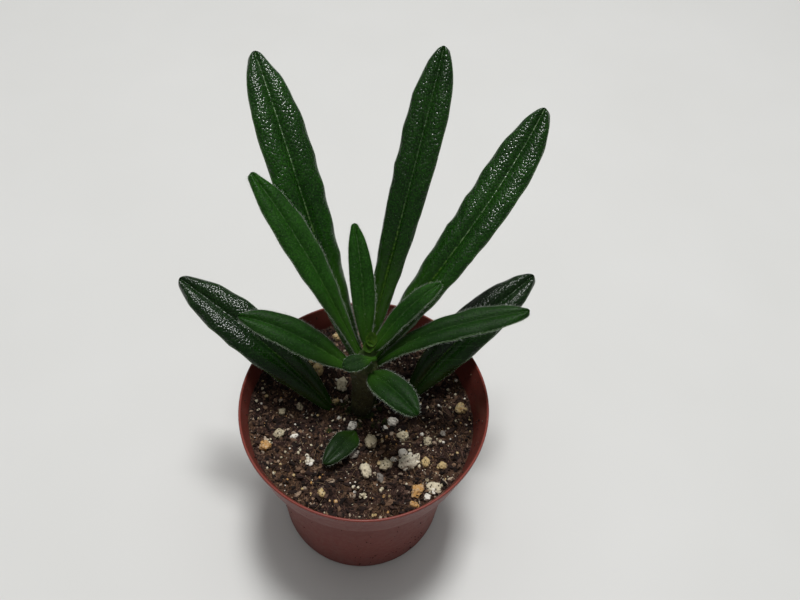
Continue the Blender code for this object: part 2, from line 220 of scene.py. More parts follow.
LEAVES = (
    Leaf("leaf_back_left", "old", Foot(69.9, 123), angle=120.8, turn=-6.5, rise=(40, 49, 27),
         length=76.5, width=11.8, widest=0.70, fullness=0.9, wave=0.35),
    Leaf("leaf_back", "old", Foot(73.2, 82), angle=66.5, turn=7, rise=(62, 51, 44),
         length=72.5, width=9.4, widest=0.76, fullness=0.95, wave=0.30, deep=0.28),
    Leaf("leaf_back_right", "old", Foot(69.2, 58), angle=36, turn=19.5, rise=(53.5, 36, 42),
         length=73.2, width=11.3, widest=0.72, fullness=0.8, roll=-3.5, wave=0.35, deep=0.12),
    Leaf("leaf_left_upper", "young", Foot(74.5, 140), angle=135.5, turn=3, rise=(56, 49, 32.5),
         length=49, width=8.0, widest=0.62, fullness=1.6, roll=3),
    Leaf("leaf_back_young", "young", Foot(77, 97.5), angle=95.5, turn=10, rise=(67.5, 55, 44),
         length=29.5, width=5.7, widest=0.51, fullness=0.8, wave=0.15),
    Leaf("leaf_right_young", "young", Foot(76.2, 34), angle=33, turn=-10, rise=(59.5, 44, 27),
         length=23.3, width=5.5, widest=0.60, fullness=0.6, wave=0.15, deep=0.22),
    Leaf("leaf_right", "young", Foot(71.2, 12), angle=6.3, turn=2.5, rise=(60, 21, 5),
         length=40, width=7.3, widest=0.66, fullness=0.9, deep=0.48),
    Leaf("leaf_left_front", "young", Foot(69.8, 176), angle=166.5, turn=4.5, rise=(33, 30.5, -1.5),
         length=30.5, width=8.1, widest=0.49, fullness=1.0, roll=13, deep=0.40),
    Leaf("leaf_front_smallest", "newest", Foot(77, 292), angle=206, turn=-8, rise=(19, 10, -30),
         length=7.2, width=4.7, widest=0.58, fullness=1.0, wave=0.1, deep=0.35),
    Leaf("leaf_front_right", "young", Foot(71, 305), angle=311.5, turn=-1.5, rise=(25, 10, -15.5),
         length=16.5, width=7.8, widest=0.43, fullness=0.4, wave=0.15, deep=0.55),
    Leaf("leaf_left_low", "old", Hole(-9.8, 2.1), angle=152, turn=-4.5, rise=(53, 27, 12.5),
         length=51.7, width=11.9, widest=0.57, fullness=0.9, roll=15.5, wave=0.35, deep=0.62),
    Leaf("leaf_right_low", "old", Hole(12.5, 6.8), angle=34.5, turn=-1, rise=(62.5, 32.5, 23),
         length=47.6, width=11.6, widest=0.52, fullness=0.9, roll=-13.5, wave=0.35, deep=0.70),
    Leaf("leaf_front_low", "deep", Hole(-2.6, -5.9), angle=244, turn=-14.5, rise=(42, 18, -10.5),
         length=13.9, width=6.4, widest=0.31, fullness=1.2, roll=3.5, wave=0.1, deep=0.20),
)

# Granules: x, y and size in mm, then the tone of the stone from its ramp.
WHITE, CREAM, IVORY, BEIGE, TAN, ORANGE, GREY = 0.05, 0.16, 0.25, 0.42, 0.6, 0.78, 0.95
STONES = (
    (0.7, -16.2, 3.4, IVORY), (5.5, -14.3, 3.3, BEIGE), (7.8, -12.6, 1.7, WHITE), (4.2, -17.6, 2.2, GREY),
    (1.8, -8.3, 3.8, BEIGE), (7.5, -2.2, 2.7, WHITE), (5.4, -3.9, 1.5, WHITE), (-3.1, -3.9, 2.3, WHITE),
    (13.5, -21.0, 3.7, ORANGE), (12.8, -24.4, 2.2, ORANGE), (17.7, -19.9, 3.5, IVORY),
    (16.0, -22.5, 1.8, WHITE), (15.8, -13.4, 2.6, TAN), (20.2, -13.7, 2.1, TAN), (16.7, -6.9, 3.0, BEIGE),
    (20.9, -4.7, 1.7, GREY), (10.1, -6.0, 3.0, BEIGE), (26.2, 3.2, 2.8, TAN), (-6.3, 8.8, 3.0, IVORY),
    (-7.7, 3.3, 2.2, TAN), (-13.0, 12.0, 3.2, TAN), (-14.9, 14.9, 2.0, TAN), (-8.2, 24.2, 2.7, TAN),
    (-21.7, -7.1, 2.4, BEIGE), (-24.8, -10.6, 3.2, ORANGE), (-10.1, -22.6, 1.9, TAN),
    (-17.9, -7.5, 1.9, WHITE), (-17.1, 0.7, 2.1, BEIGE), (-21.6, -0.8, 2.0, BEIGE),
    (-2.6, -11.8, 2.6, GREY), (11.6, -13.6, 4.4, CREAM), (10.0, -11.2, 2.4, WHITE),
)

# Crumbly clumps of many small lumps: x, y, how far they spread in mm, how many lumps, tone.
CLUMPS = (
    (11.8, -12.9, 2.6, 26, WHITE), (-13.7, -14.1, 1.7, 14, WHITE), (-2.2, -20.4, 1.2, 6, WHITE),
    (0.4, -23.0, 1.3, 7, IVORY), (10.3, -6.2, 1.6, 8, IVORY), (-24.0, -10.2, 1.4, 6, IVORY),
    (26.4, 3.0, 1.6, 8, TAN), (-6.2, 7.4, 1.8, 8, IVORY), (17.4, -20.9, 1.4, 7, WHITE),
)


def camera_turn():
    turn = Matrix.Rotation(-math.radians(CAMERA_RIGHT), 3, "Z")
    look = Matrix.Rotation(math.radians(90 - CAMERA_DOWN), 3, "X")
    tilt = Matrix.Rotation(math.radians(CAMERA_TILT), 3, "Z")
    return turn @ look @ tilt


def build_camera():
    data = bpy.data.cameras.new("camera")
    data.sensor_width = 36
    data.lens = CAMERA_LENS
    data.clip_start = 0.01
    data.dof.use_dof = False
    camera = bpy.data.objects.new("camera", data)
    camera.matrix_world = Matrix.Translation(CAMERA_PLACE) @ camera_turn().to_4x4()
    bpy.context.scene.collection.objects.link(camera)
    bpy.context.scene.camera = camera


class Paint:
    """A material's node tree, with short names for the nodes that the finishes use."""

    def __init__(self, name, roughness=0.5, specular=0.5):
        self.material = bpy.data.materials.new(name)
        self.material.use_nodes = True
        self.tree = self.material.node_tree
        self.shader = self.tree.nodes["Principled BSDF"]
        self.shader.inputs["Roughness"].default_value = roughness
        self.shader.inputs["Specular IOR Level"].default_value = specular
        self.place = self.node("ShaderNodeTexCoord").outputs["Object"]

    def node(self, kind, **settings):
        made = self.tree.nodes.new(kind)
        for key, value in settings.items():
            setattr(made, key, value)
        return made

    def feed(self, socket, value):
        """Links a socket, or sets a number or colour on it."""
        if isinstance(value, bpy.types.NodeSocket):
            self.tree.links.new(value, socket)
        elif isinstance(value, tuple) and len(value) == 3 and socket.type == "RGBA":
            socket.default_value = (*value, 1.0)
        else:
            socket.default_value = value

    def set(self, name, value):
        self.feed(self.shader.inputs[name], value)

    def maths(self, operation, first, second=0.0):
        made = self.node("ShaderNodeMath", operation=operation)
        self.feed(made.inputs[0], first)
        self.feed(made.inputs[1], second)
        return made.outputs[0]

    def noise(self, size, detail=3.0, roughness=0.55, distortion=0.0):
        """Noise whose features are about size metres across, from 0 to 1."""
        made = self.node("ShaderNodeTexNoise")
        self.feed(made.inputs["Vector"], self.place)
        made.inputs["Scale"].default_value = 1 / size
        made.inputs["Detail"].default_value = detail
        made.inputs["Roughness"].default_value = roughness
        made.inputs["Distortion"].default_value = distortion
        return made.outputs["Fac"]

    def cells(self, size):
        """Cells about size metres across: 0 at their middles."""
        made = self.node("ShaderNodeTexVoronoi")
        self.feed(made.inputs["Vector"], self.place)
        made.inputs["Scale"].default_value = 1 / size
        return made.outputs["Distance"]

    def attribute(self, name):
        """The three numbers of a vector attribute."""
        found = self.node("ShaderNodeAttribute", attribute_name=name)
        split = self.node("ShaderNodeSeparateXYZ")
        self.feed(split.inputs[0], found.outputs["Vector"])
        return split.outputs[0], split.outputs[1], split.outputs[2]

    def height(self):
        """How high a place lies, in metres."""
        split = self.node("ShaderNodeSeparateXYZ")
        self.feed(split.inputs[0], self.place)
        return split.outputs[2]

    def level(self, value, low, high, start=0.0, end=1.0):
        """value from low to high, made smoothly start to end."""
        made = self.node("ShaderNodeMapRange", interpolation_type="SMOOTHSTEP")
        names = ("Value", "From Min", "From Max", "To Min", "To Max")
        for name, number in zip(names, (value, low, high, start, end)):
            self.feed(made.inputs[name], number)
        return made.outputs[0]

    def ramp(self, value, *stops):
        """Colours by value: stops are (place, colour)."""
        made = self.node("ShaderNodeValToRGB")
        self.feed(made.inputs[0], value)
        band = made.color_ramp
        while len(band.elements) < len(stops):
            band.elements.new(0.5)
        for element, (place, colour) in zip(band.elements, sorted(stops)):
            element.position = place
            element.color = (*colour, 1.0)
        return made.outputs[0]

    def mix(self, share, first, second):
        """first to second by share. Inputs 6 and 7 and output 2 are the node's colour sockets."""
        made = self.node("ShaderNodeMix", data_type="RGBA")
        self.feed(made.inputs[0], share)
        self.feed(made.inputs[6], first)
        self.feed(made.inputs[7], second)
        return made.outputs[2]

    def bump(self, height, depth, below=None):
        """A normal from height (0 to 1), whose full height is depth metres."""
        made = self.node("ShaderNodeBump")
        made.inputs["Distance"].default_value = depth
        made.inputs["Strength"].default_value = 1.0
        self.feed(made.inputs["Height"], height)
        if below:
            self.feed(made.inputs["Normal"], below)
        return made.outputs[0]

    def let_light_in(self, weight, colours, reach):
        """Light sinks in by weight, as deep as reach in metres times each of the three colours."""
        self.set("Subsurface Weight", weight)
        self.set("Subsurface Radius", colours)
        self.set("Subsurface Scale", reach)


def piece(name, mesh, finish, replaced=None):
    """Puts a finished mesh into the scene as a piece of the plant."""
    obj = bpy.data.objects.new(name, mesh)
    bpy.context.scene.collection.objects.link(obj)
    mesh.materials.append(finish)
    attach(obj, "root")
    if replaced:
        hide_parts(replaced)
    return obj


def smooth_mesh(name, bm, angle=None):
    """A mesh from this bmesh, shaded smooth, with its faces turned outwards."""
    bmesh.ops.recalc_face_normals(bm, faces=bm.faces)
    mesh = bpy.data.meshes.new(name)
    bm.to_mesh(mesh)
    bm.free()
    mesh.shade_smooth()
    if angle:
        mesh.set_sharp_from_angle(angle=math.radians(angle))
    return mesh


def scatter(name, shapes, places, finish, smooth=True):
    """One piece from copies of small shapes. A place is (the shape's number, a 4x4 matrix, a tone)."""
    for shape in shapes:
        bmesh.ops.recalc_face_normals(shape, faces=shape.faces)
    bm = bmesh.new()
    one = bpy.data.meshes.new("one_copy")
    tones = []
    for which, matrix, tone in places:
        copy = shapes[which].copy()
        copy.transform(matrix)
        copy.to_mesh(one)
        tones += [tone] * 3 * len(copy.verts)
        copy.free()
        bm.from_mesh(one)
    bpy.data.meshes.remove(one)
    mesh = bpy.data.meshes.new(name)
    bm.to_mesh(mesh)
    bm.free()
    mesh.attributes.new("tone", "FLOAT_VECTOR", "POINT").data.foreach_set("vector", tones)
    if smooth:
        mesh.shade_smooth()
    piece(name, mesh, finish)


def turned(profile, sides):
    """A closed bmesh from (radius, height) points that start and end on the z axis."""
    bm = bmesh.new()
    points = [bm.verts.new((radius, 0, height)) for radius, height in profile]
    edges = [bm.edges.new(pair) for pair in zip(points, points[1:])]
    bmesh.ops.spin(
        bm,
        geom=points + edges,
        cent=(0, 0, 0),
        axis=(0, 0, 1),
        angle=math.tau,
        steps=sides,
        use_merge=True,
    )
    bmesh.ops.remove_doubles(bm, verts=bm.verts, dist=0.001 * MM)
    return bm


def scaled(x, y, z):
    return Matrix.Diagonal((x, y, z, 1.0))


def placed(where, size, rng):
    """A matrix that turns a shape at random, sizes it and puts it there."""
    spin = Matrix.Rotation(rng.uniform(0, math.tau), 4, Vector([rng.gauss(0, 1) for _ in range(3)]))
    return Matrix.Translation(where) @ spin @ scaled(size, size, size)


def round_axis(radius, angle, height):
    """The place at this radius and angle round the pot's axis."""
    return Vector((radius * math.cos(angle), radius * math.sin(angle), height))


def cut_rod(tip, cuts):
    """A three-sided rod along z, 1 long and 1 across at its foot, cut across so that it can bend."""
    bm = bmesh.new()
    bmesh.ops.create_cone(bm, cap_ends=True, segments=3, radius1=0.5, radius2=tip, depth=1.0)
    sides = [edge for edge in bm.edges if abs(edge.verts[0].co.z - edge.verts[1].co.z) > 0.5]
    bmesh.ops.subdivide_edges(bm, edges=sides, cuts=cuts, use_grid_fill=True)
    return bm


# Pot.


def body_radius(height):
    """The pot's outer radius below its collar."""
    top = RIM_RADIUS - LIP_BULGE - COLLAR_TAPER - COLLAR_STEP
    return BASE_RADIUS + (top - BASE_RADIUS) * height / (POT_HEIGHT - COLLAR_HEIGHT)


def inner_radius(height):
    """The pot's inner radius, which steps out behind the collar."""
    collar_foot = POT_HEIGHT - COLLAR_HEIGHT + POT_WALL
    if height < collar_foot:
        return body_radius(height) - POT_WALL
    climbed = (height - collar_foot) / (POT_HEIGHT - collar_foot)
    return RIM_RADIUS - LIP_BULGE - COLLAR_TAPER * (1 - climbed) - POT_WALL


def collar_radius(height):
    """The collar's outer radius."""
    return inner_radius(height) + POT_WALL


def arc(centre, radius, start, end, steps):
    """Points round a centre (radius, height), from start to end degrees."""
    angles = [math.radians(start + (end - start) * step / steps) for step in range(steps + 1)]
    return [(centre[0] + radius * math.cos(a), centre[1] + radius * math.sin(a)) for a in angles]


def pot_profile():
    collar_foot = POT_HEIGHT - COLLAR_HEIGHT
    inner_step = collar_foot + POT_WALL
    wall_top = RIM_RADIUS - LIP_BULGE
    lip = LIP_HEIGHT / 2
    inner_top = inner_radius(POT_HEIGHT - lip) + 0.55 * MM
    crown = (inner_top + RIM_RADIUS) / 2
    half = (RIM_RADIUS - inner_top) / 2
    inside = [(0, POT_FLOOR), (inner_radius(POT_FLOOR) - 2.4 * FOOT_ROUND, POT_FLOOR)]
    inside += [(inner_radius(POT_FLOOR) - FOOT_ROUND, POT_FLOOR + 0.15 * MM)]
    inside += [(inner_radius(2 * POT_FLOOR), 2 * POT_FLOOR + 0.2 * MM)]
    inside += [(inner_radius(h * MM), h * MM) for h in range(6, 46, 8)]
    inside += [(inner_radius(inner_step - 0.1 * MM), inner_step - 0.4 * MM)]
    inside += [(inner_radius(inner_step), inner_step + 0.4 * MM)]
    inside += [(inner_radius(h * MM), h * MM) for h in (49, 52, 55)]
    rim = arc((crown, POT_HEIGHT - half), half, 180, 0, 10)
    lip_foot = POT_HEIGHT - LIP_HEIGHT
    rim += [(RIM_RADIUS, lip_foot + 0.25 * MM), (wall_top + 0.08 * MM, lip_foot)]
    drop = COLLAR_HEIGHT - LIP_HEIGHT
    collar = []
    for share in (0.05, 0.3, 0.6, 0.9):
        collar.append((wall_top - COLLAR_TAPER * share, lip_foot - drop * share))
    corner = (wall_top - COLLAR_TAPER - COLLAR_ROUND, collar_foot + COLLAR_ROUND)
    collar += arc(corner, COLLAR_ROUND, 0, -90, 4)
    collar += [(body_radius(collar_foot) + 0.3 * MM, collar_foot - 0.1 * MM)]
    body = [(body_radius(h * MM), h * MM) for h in (45.1, 40, 30, 20, 10, 4, 2)]
    foot = arc((BASE_RADIUS - FOOT_ROUND + 0.1 * MM, FOOT_ROUND), FOOT_ROUND, 0, -90, 6)
    return inside + rim + collar + body + foot + [(0, 0)]


def warp_pot(bm):
    """The thin wall isn't quite round: it bulges by a tenth of a millimetre here and there."""
    for vertex in bm.verts:
        angle = math.atan2(vertex.co.y, vertex.co.x)
        lift = vertex.co.z / POT_HEIGHT
        bulge = 0.0035 * math.sin(2 * angle + 0.7) + 0.0018 * math.sin(5 * angle + 2.0)
        vertex.co.x *= 1 + bulge * lift
        vertex.co.y *= 1 + bulge * lift


def pot_finish():
    """Brick red satin plastic: fine scuffs, a film of peat dust, dark specks and a worn, smoother rim."""
    paint = Paint("thin_brick_red_plastic", specular=0.16)
    tone = paint.noise(14 * MM, detail=2)
    base = paint.mix(tone, (0.152, 0.036, 0.027), (0.186, 0.045, 0.034))
    dust = paint.level(paint.noise(5 * MM, detail=6, roughness=0.7), 0.52, 0.78, 0.0, 0.25)
    dusty = paint.mix(dust, base, (0.19, 0.105, 0.085))
    speck = paint.level(paint.noise(0.55 * MM, detail=1), 0.725, 0.75)
    specked = paint.mix(speck, dusty, (0.030, 0.016, 0.010))
    height = paint.height()
    worn = paint.level(height, POT_HEIGHT - 0.20 * MM, POT_HEIGHT - 0.05 * MM, 0.0, 0.4)
    paint.set("Base Color", paint.mix(worn, specked, (0.21, 0.042, 0.030)))
    scuff = paint.noise(1.3 * MM, detail=5, roughness=0.75)
    lip = paint.level(height, POT_HEIGHT - LIP_HEIGHT, POT_HEIGHT - 0.7 * MM)
    worn_smooth = paint.maths("MULTIPLY", lip, 0.16)
    paint.set("Roughness", paint.maths("SUBTRACT", paint.level(scuff, 0.3, 0.75, 0.40, 0.55), worn_smooth))
    paint.let_light_in(0.15, (1.0, 0.18, 0.08), 0.8 * MM)
    paint.set("Normal", paint.bump(scuff, 0.006 * MM, paint.bump(paint.noise(9 * MM), 0.03 * MM)))
    return paint.material


def drain_cutters():
    """Six rods that stand through the pot's floor."""
    collection = bpy.data.collections.new("drain_cutters")
    for index in range(DRAIN_HOLES):
        angle = math.tau * (index + 0.5) / DRAIN_HOLES
        centre = Vector((math.cos(angle), math.sin(angle), 0)) * DRAIN_CIRCLE
        bm = bmesh.new()
        bmesh.ops.create_cone(
            bm, cap_ends=True, segments=32, radius1=DRAIN_RADIUS, radius2=DRAIN_RADIUS, depth=6 * POT_FLOOR
        )
        bmesh.ops.translate(bm, verts=bm.verts, vec=centre)
        mesh = smooth_mesh("drain_cutter", bm)
        collection.objects.link(bpy.data.objects.new("drain_cutter", mesh))
    return collection


def build_pot():
    bm = turned(pot_profile(), POT_SIDES)
    warp_pot(bm)
    mesh = smooth_mesh("pot_shell", bm)
    pot = piece("pot_shell", mesh, pot_finish(), "pot")
    cutters = drain_cutters()
    bpy.context.scene.collection.children.link(cutters)
    cut = pot.modifiers.new("drains", "BOOLEAN")
    cut.operation = "DIFFERENCE"
    cut.operand_type = "COLLECTION"
    cut.collection = cutters
    cut.solver = "EXACT"
    finish_modifiers(pot)
    for obj in list(cutters.objects):
        bpy.data.objects.remove(obj, do_unlink=True)
    bpy.data.collections.remove(cutters)
    pot.data.shade_smooth()
    pot.data.set_sharp_from_angle(angle=math.radians(POT_CREASE))


def finish_modifiers(obj):
    """Applies an object's modifiers to its mesh."""
    graph = bpy.context.evaluated_depsgraph_get()
    mesh = bpy.data.meshes.new_from_object(obj.evaluated_get(graph))
    obj.modifiers.clear()
    obj.data = mesh


# Soil.


def soil_level(x, y):
    """The soil's surface: a fall to the right and low swells that die out at the wall."""
    reach = min(1.0, math.hypot(x, y) / RIM_RADIUS)
    swell = math.sin(x / (4.1 * MM) + 1.0) * math.cos(y / (5.3 * MM))
    swell += 0.6 * math.sin((x + y) / (7.7 * MM) + 2.0)
    return SOIL_HEIGHT - SOIL_FALL * x / (30 * MM) + SWELL * swell * (1 - reach**4)


def soil_surface(x, y):
    """The soil's surface with its clods and grains."""
    place = Vector((x, y, 0))
    clods = noise.fractal(place / CLOD_SIZE, 0.8, 2.1, 3)
    grains = noise.fractal(place / GRAIN_SIZE + Vector((7, 3, 1)), 0.7, 2.0, 2)
    edge = min(1.0, (SOIL_RADIUS - math.hypot(x, y)) / (1.5 * MM))
    relief = CLOD_HEIGHT * clods * (0.35 + 0.65 * max(0.0, edge)) + GRAIN_HEIGHT * grains
    return soil_level(x, y) + relief


def wall_at(x, y):
    """The pot's inner radius where the soil meets it, in the direction of this place."""
    away = max(math.hypot(x, y), 0.01 * MM)
    return inner_radius(soil_level(x / away * SOIL_RADIUS, y / away * SOIL_RADIUS))


def on_soil(x, y, lift=0.0):
    return Vector((x, y, soil_surface(x, y) + lift))


def soil_profile():
    step = POT_HEIGHT - COLLAR_HEIGHT + POT_WALL
    top = [(SOIL_RADIUS * ring / SOIL_RINGS, SOIL_HEIGHT) for ring in range(SOIL_RINGS + 1)]
    side = [
        (inner_radius(step - 0.5 * MM) - WALL_GAP, step - 0.1 * MM),
        (inner_radius(25 * MM) - WALL_GAP, 25 * MM),
        (inner_radius(2 * POT_FLOOR) - 0.45 * MM, POT_FLOOR + 1.5 * MM),
        (inner_radius(POT_FLOOR) - FOOT_ROUND - FLOOR_GAP, POT_FLOOR + FLOOR_GAP),
        (0, POT_FLOOR + FLOOR_GAP),
    ]
    return top + side


def peat_colour(paint):
    """Near black in some patches and warm brown in others, each with a fine mottle."""
    wet = paint.noise(7 * MM, detail=3)
    fine = paint.noise(0.5 * MM, detail=4, roughness=0.7)
    dark = paint.ramp(
        fine, (0.32, (0.004, 0.002, 0.002)), (0.52, (0.028, 0.012, 0.009)), (0.70, (0.16, 0.090, 0.065))
    )
    brown = paint.ramp(
        fine, (0.32, (0.010, 0.005, 0.003)), (0.54, (0.070, 0.036, 0.019)), (0.72, (0.24, 0.14, 0.080))
    )
    return paint.mix(paint.level(wet, 0.42, 0.62), dark, brown)


def painted_shade_by_stem(paint):
    """How much painted shade darkens the peat under the leaves: most behind the stem on the right, falling
    to 0 further out.
    """
    centred = paint.node("ShaderNodeVectorMath", operation="SUBTRACT")
    paint.feed(centred.inputs[0], paint.place)
    centred.inputs[1].default_value = PAINTED_SHADE_PLACE
    reach = paint.node("ShaderNodeVectorMath", operation="LENGTH")
    paint.feed(reach.inputs[0], centred.outputs[0])
    ragged = paint.maths("ADD", reach.outputs["Value"], paint.maths("MULTIPLY", paint.noise(4 * MM), 8 * MM))
    return paint.level(ragged, 10 * MM, 18 * MM, 0.62, 0.0)


def peat_finish():
    paint = Paint("dark_peat_damp_and_painted_shade", roughness=0.9, specular=0.25)
    colour = peat_colour(paint)
    fleck = paint.level(paint.noise(0.42 * MM, detail=1), 0.70, 0.76)
    flecked = paint.mix(fleck, colour, (0.20, 0.15, 0.10))
    # Painted shade: near black is mixed in behind the stem on the right, where the leaves shade the peat.
    paint.set("Base Color", paint.mix(painted_shade_by_stem(paint), flecked, (0.004, 0.002, 0.002)))
    grains = paint.noise(0.35 * MM, detail=4, roughness=0.75)
    paint.set("Normal", paint.bump(grains, 0.25 * MM))
    return paint.material


def crumb_finish():
    """Peat crumbs: each has its own tone, from near black to straw."""
    paint = Paint("peat_crumbs", roughness=0.88, specular=0.25)
    tone = paint.attribute("tone")[0]
    own = paint.ramp(
        tone,
        (0.0, (0.005, 0.003, 0.003)),
        (0.45, (0.026, 0.013, 0.010)),
        (0.72, (0.095, 0.053, 0.038)),
        (0.88, (0.25, 0.15, 0.090)),
        (1.0, (0.56, 0.45, 0.34)),
    )
    fine = paint.noise(0.3 * MM, detail=3, roughness=0.7)
    stained = paint.mix(paint.level(fine, 0.3, 0.7, 0.0, 0.6), own, (0.014, 0.008, 0.005))
    # Painted shade: near black is mixed in behind the stem on the right, where the leaves shade the crumbs.
    paint.set("Base Color", paint.mix(painted_shade_by_stem(paint), stained, (0.004, 0.002, 0.002)))
    paint.set("Normal", paint.bump(fine, 0.12 * MM))
    return paint.material


def fibre_finish():
    """Peat fibres and root threads, brown to straw."""
    paint = Paint("peat_fibres", roughness=0.7, specular=0.3)
    tone = paint.attribute("tone")[0]
    colour = paint.ramp(
        tone, (0.0, (0.030, 0.016, 0.009)), (0.6, (0.11, 0.062, 0.032)), (1.0, (0.32, 0.23, 0.13))
    )
    paint.set("Base Color", colour)
    paint.set("Normal", paint.bump(paint.noise(0.2 * MM), 0.03 * MM))
    return paint.material


def stone_finish():
    """Expanded and pumice-like granules: each has its own tone, with pits, stains and dust, and painted
    shade that darkens the pits.
    """
    paint = Paint("porous_granules", roughness=0.85, specular=0.3)
    tone = paint.attribute("tone")[0]
    own = paint.ramp(
        tone,
        (0.0, (0.78, 0.75, 0.69)),
        (0.22, (0.60, 0.53, 0.38)),
        (0.42, (0.42, 0.36, 0.24)),
        (0.60, (0.48, 0.35, 0.16)),
        (0.78, (0.46, 0.25, 0.08)),
        (0.95, (0.20, 0.18, 0.16)),
    )
    mottle = paint.noise(0.7 * MM, detail=4, roughness=0.7)
    stained = paint.mix(paint.level(mottle, 0.45, 0.72, 0.0, 0.5), own, (0.66, 0.61, 0.50))
    pit = paint.level(paint.cells(0.85 * MM), 0.14, 0.30, 1.0, 0.0)
    # Painted shade: the pits' bottoms are mixed towards near black.
    pitted = paint.mix(paint.maths("MULTIPLY", pit, 0.9), stained, (0.030, 0.018, 0.010))
    dirt = paint.level(paint.noise(0.9 * MM, detail=5, roughness=0.75), 0.54, 0.68, 0.0, 0.8)
    paint.set("Base Color", paint.mix(dirt, pitted, (0.050, 0.034, 0.023)))
    pits = paint.bump(paint.maths("SUBTRACT", 1.0, pit), 0.22 * MM)
    paint.set("Normal", paint.bump(mottle, 0.16 * MM, pits))
    return paint.material


def build_soil():
    bm = turned(soil_profile(), SOIL_SIDES)
    for vertex in bm.verts:
        if vertex.co.z > SOIL_HEIGHT - 0.01 * MM:
            spread = (wall_at(vertex.co.x, vertex.co.y) + 0.1 * MM) / SOIL_RADIUS
            vertex.co.x *= spread
            vertex.co.y *= spread
            vertex.co.z = soil_surface(vertex.co.x, vertex.co.y)
    piece("peat", smooth_mesh("peat", bm, SOIL_CREASE), peat_finish(), "soil")


def lump(rng, detail, roughness, flat=0.8, long=1.0):
    """A rough lump about 1 across, from an icosphere, which long draws out."""
    bm = bmesh.new()
    bmesh.ops.create_icosphere(bm, subdivisions=detail, radius=0.5)
    offset = Vector([rng.uniform(0, 50) for _ in range(3)])
    stretch = Vector((long * rng.uniform(0.8, 1.2), rng.uniform(0.75, 1.1), flat * rng.uniform(0.8, 1.1)))
    for vertex in bm.verts:
        rough = noise.fractal(vertex.co * 2.2 + offset, 0.8, 2.2, 3)
        vertex.co *= 1 + roughness * rough
        vertex.co *= stretch
    return bm


def pitted_lump(rng, detail):
    """A porous granule: a rough lump with a few round pits."""
    bm = lump(rng, detail, 0.30)
    pits = [Vector([rng.gauss(0, 1) for _ in range(3)]).normalized() for _ in range(9)]
    for vertex in bm.verts:
        way = vertex.co.normalized()
        depth = max(max(0.0, way.dot(pit) - 0.90) for pit in pits)
        vertex.co *= 1 - 2.4 * depth
    return bm


def soil_spot(rng, margin=0.2 * MM):
    """A random place on the soil, at least margin from the pot's wall."""
    angle = rng.uniform(0, math.tau)
    east, north = math.cos(angle), math.sin(angle)
    away = (wall_at(east, north) - margin) * math.sqrt(rng.random())
    return away * east, away * north


def build_crumbs():
    """Thousands of peat crumbs over the surface, most of them dark."""
    rng = random.Random(11)
    shapes = [lump(rng, 1, 0.6, 0.5, long) for long in (1.0, 1.0, 1.2, 1.5, 1.8, 2.1)]
    places = []
    for _ in range(CRUMBS):
        x, y = soil_spot(rng)
        room = wall_at(x, y) - math.hypot(x, y)
        size = min((0.34 + 1.15 * rng.random() ** 3) * MM, 0.35 * MM + 0.6 * room)
        tone = rng.random() ** 1.25
        if math.hypot(x - STEM_FOOT.x, y - STEM_FOOT.y) > STEM_RADIUS:
            which = rng.randrange(len(shapes))
            places.append((which, placed(on_soil(x, y, 0.15 * size), size, rng), tone))
    scatter("peat_crumbs", shapes, places, crumb_finish(), smooth=False)


def strand(rng, bends=6):
    """A thin crooked fibre along x, 1 long, with three sides."""
    bm = cut_rod(0.5, bends - 1)
    swing, lift, phase = rng.uniform(0.06, 0.16), rng.uniform(0.04, 0.12), rng.uniform(0, math.tau)
    for vertex in bm.verts:
        along = vertex.co.z
        thin = 0.035 * (1 - 1.3 * along * along)
        wander = swing * math.sin(3.3 * along + phase)
        arch = lift * math.cos(math.pi * along)
        vertex.co = Vector((along, wander + vertex.co.x * thin, arch + vertex.co.y * thin))
    return bm


def build_fibres():
    rng = random.Random(23)
    shapes = [strand(rng) for _ in range(8)]
    places = []
    for _ in range(FIBRES):
        x, y = soil_spot(rng, 2.4 * MM)
        length = rng.uniform(1.4, 4.6) * MM
        turn = Matrix.Rotation(rng.uniform(0, math.tau), 4, "Z")
        dip = Matrix.Rotation(rng.gauss(0, 0.22), 4, "Y")
        where = Matrix.Translation(on_soil(x, y, 0.22 * MM))
        matrix = where @ (turn @ dip) @ scaled(length, length, length)
        places.append((rng.randrange(len(shapes)), matrix, rng.random()))
    scatter("peat_fibres", shapes, places, fibre_finish())


def granule_places(rng):
    """The main granules, the crumbly clumps and a dusting of small grains, white to orange.

    The shapes are numbered in that order: the big lumps, the small ones and as many grains.
    """
    places = []
    for x, y, size, tone in STONES:
        where = on_soil(x * MM, y * MM, 0.16 * size * MM)
        which = rng.randrange(BIG_LUMPS)
        places.append((which, placed(where, size * MM, rng), tone))
    for x, y, spread, count, tone in CLUMPS:
        for _ in range(count):
            a, b = x + rng.gauss(0, spread / 2.5), y + rng.gauss(0, spread / 2.5)
            size = spread * rng.uniform(0.35, 0.9)
            where = on_soil(a * MM, b * MM, rng.uniform(0.3, 1.2) * MM)
            which = BIG_LUMPS + rng.randrange(SMALL_LUMPS)
            matrix = placed(where, size * MM, rng)
            places.append((which, matrix, tone + rng.uniform(-0.04, 0.16)))
    for _ in range(GRAINS):
        x, y = soil_spot(rng, 0.7 * MM)
        size = (0.28 + 0.9 * rng.random() ** 3) * MM
        tone = rng.choice((WHITE, IVORY, IVORY, BEIGE, TAN, ORANGE))
        which = BIG_LUMPS + SMALL_LUMPS + rng.randrange(SMALL_LUMPS)
        places.append((which, placed(on_soil(x, y, 0.3 * size), size, rng), tone))
    return places


def build_granules():
    rng = random.Random(5)
    big = [pitted_lump(rng, 4) for _ in range(BIG_LUMPS)]
    small = [lump(rng, 2, 0.35) for _ in range(SMALL_LUMPS)]
    grains = [lump(rng, 1, 0.35) for _ in range(SMALL_LUMPS)]
    scatter("granules", big + small + grains, granule_places(rng), stone_finish())


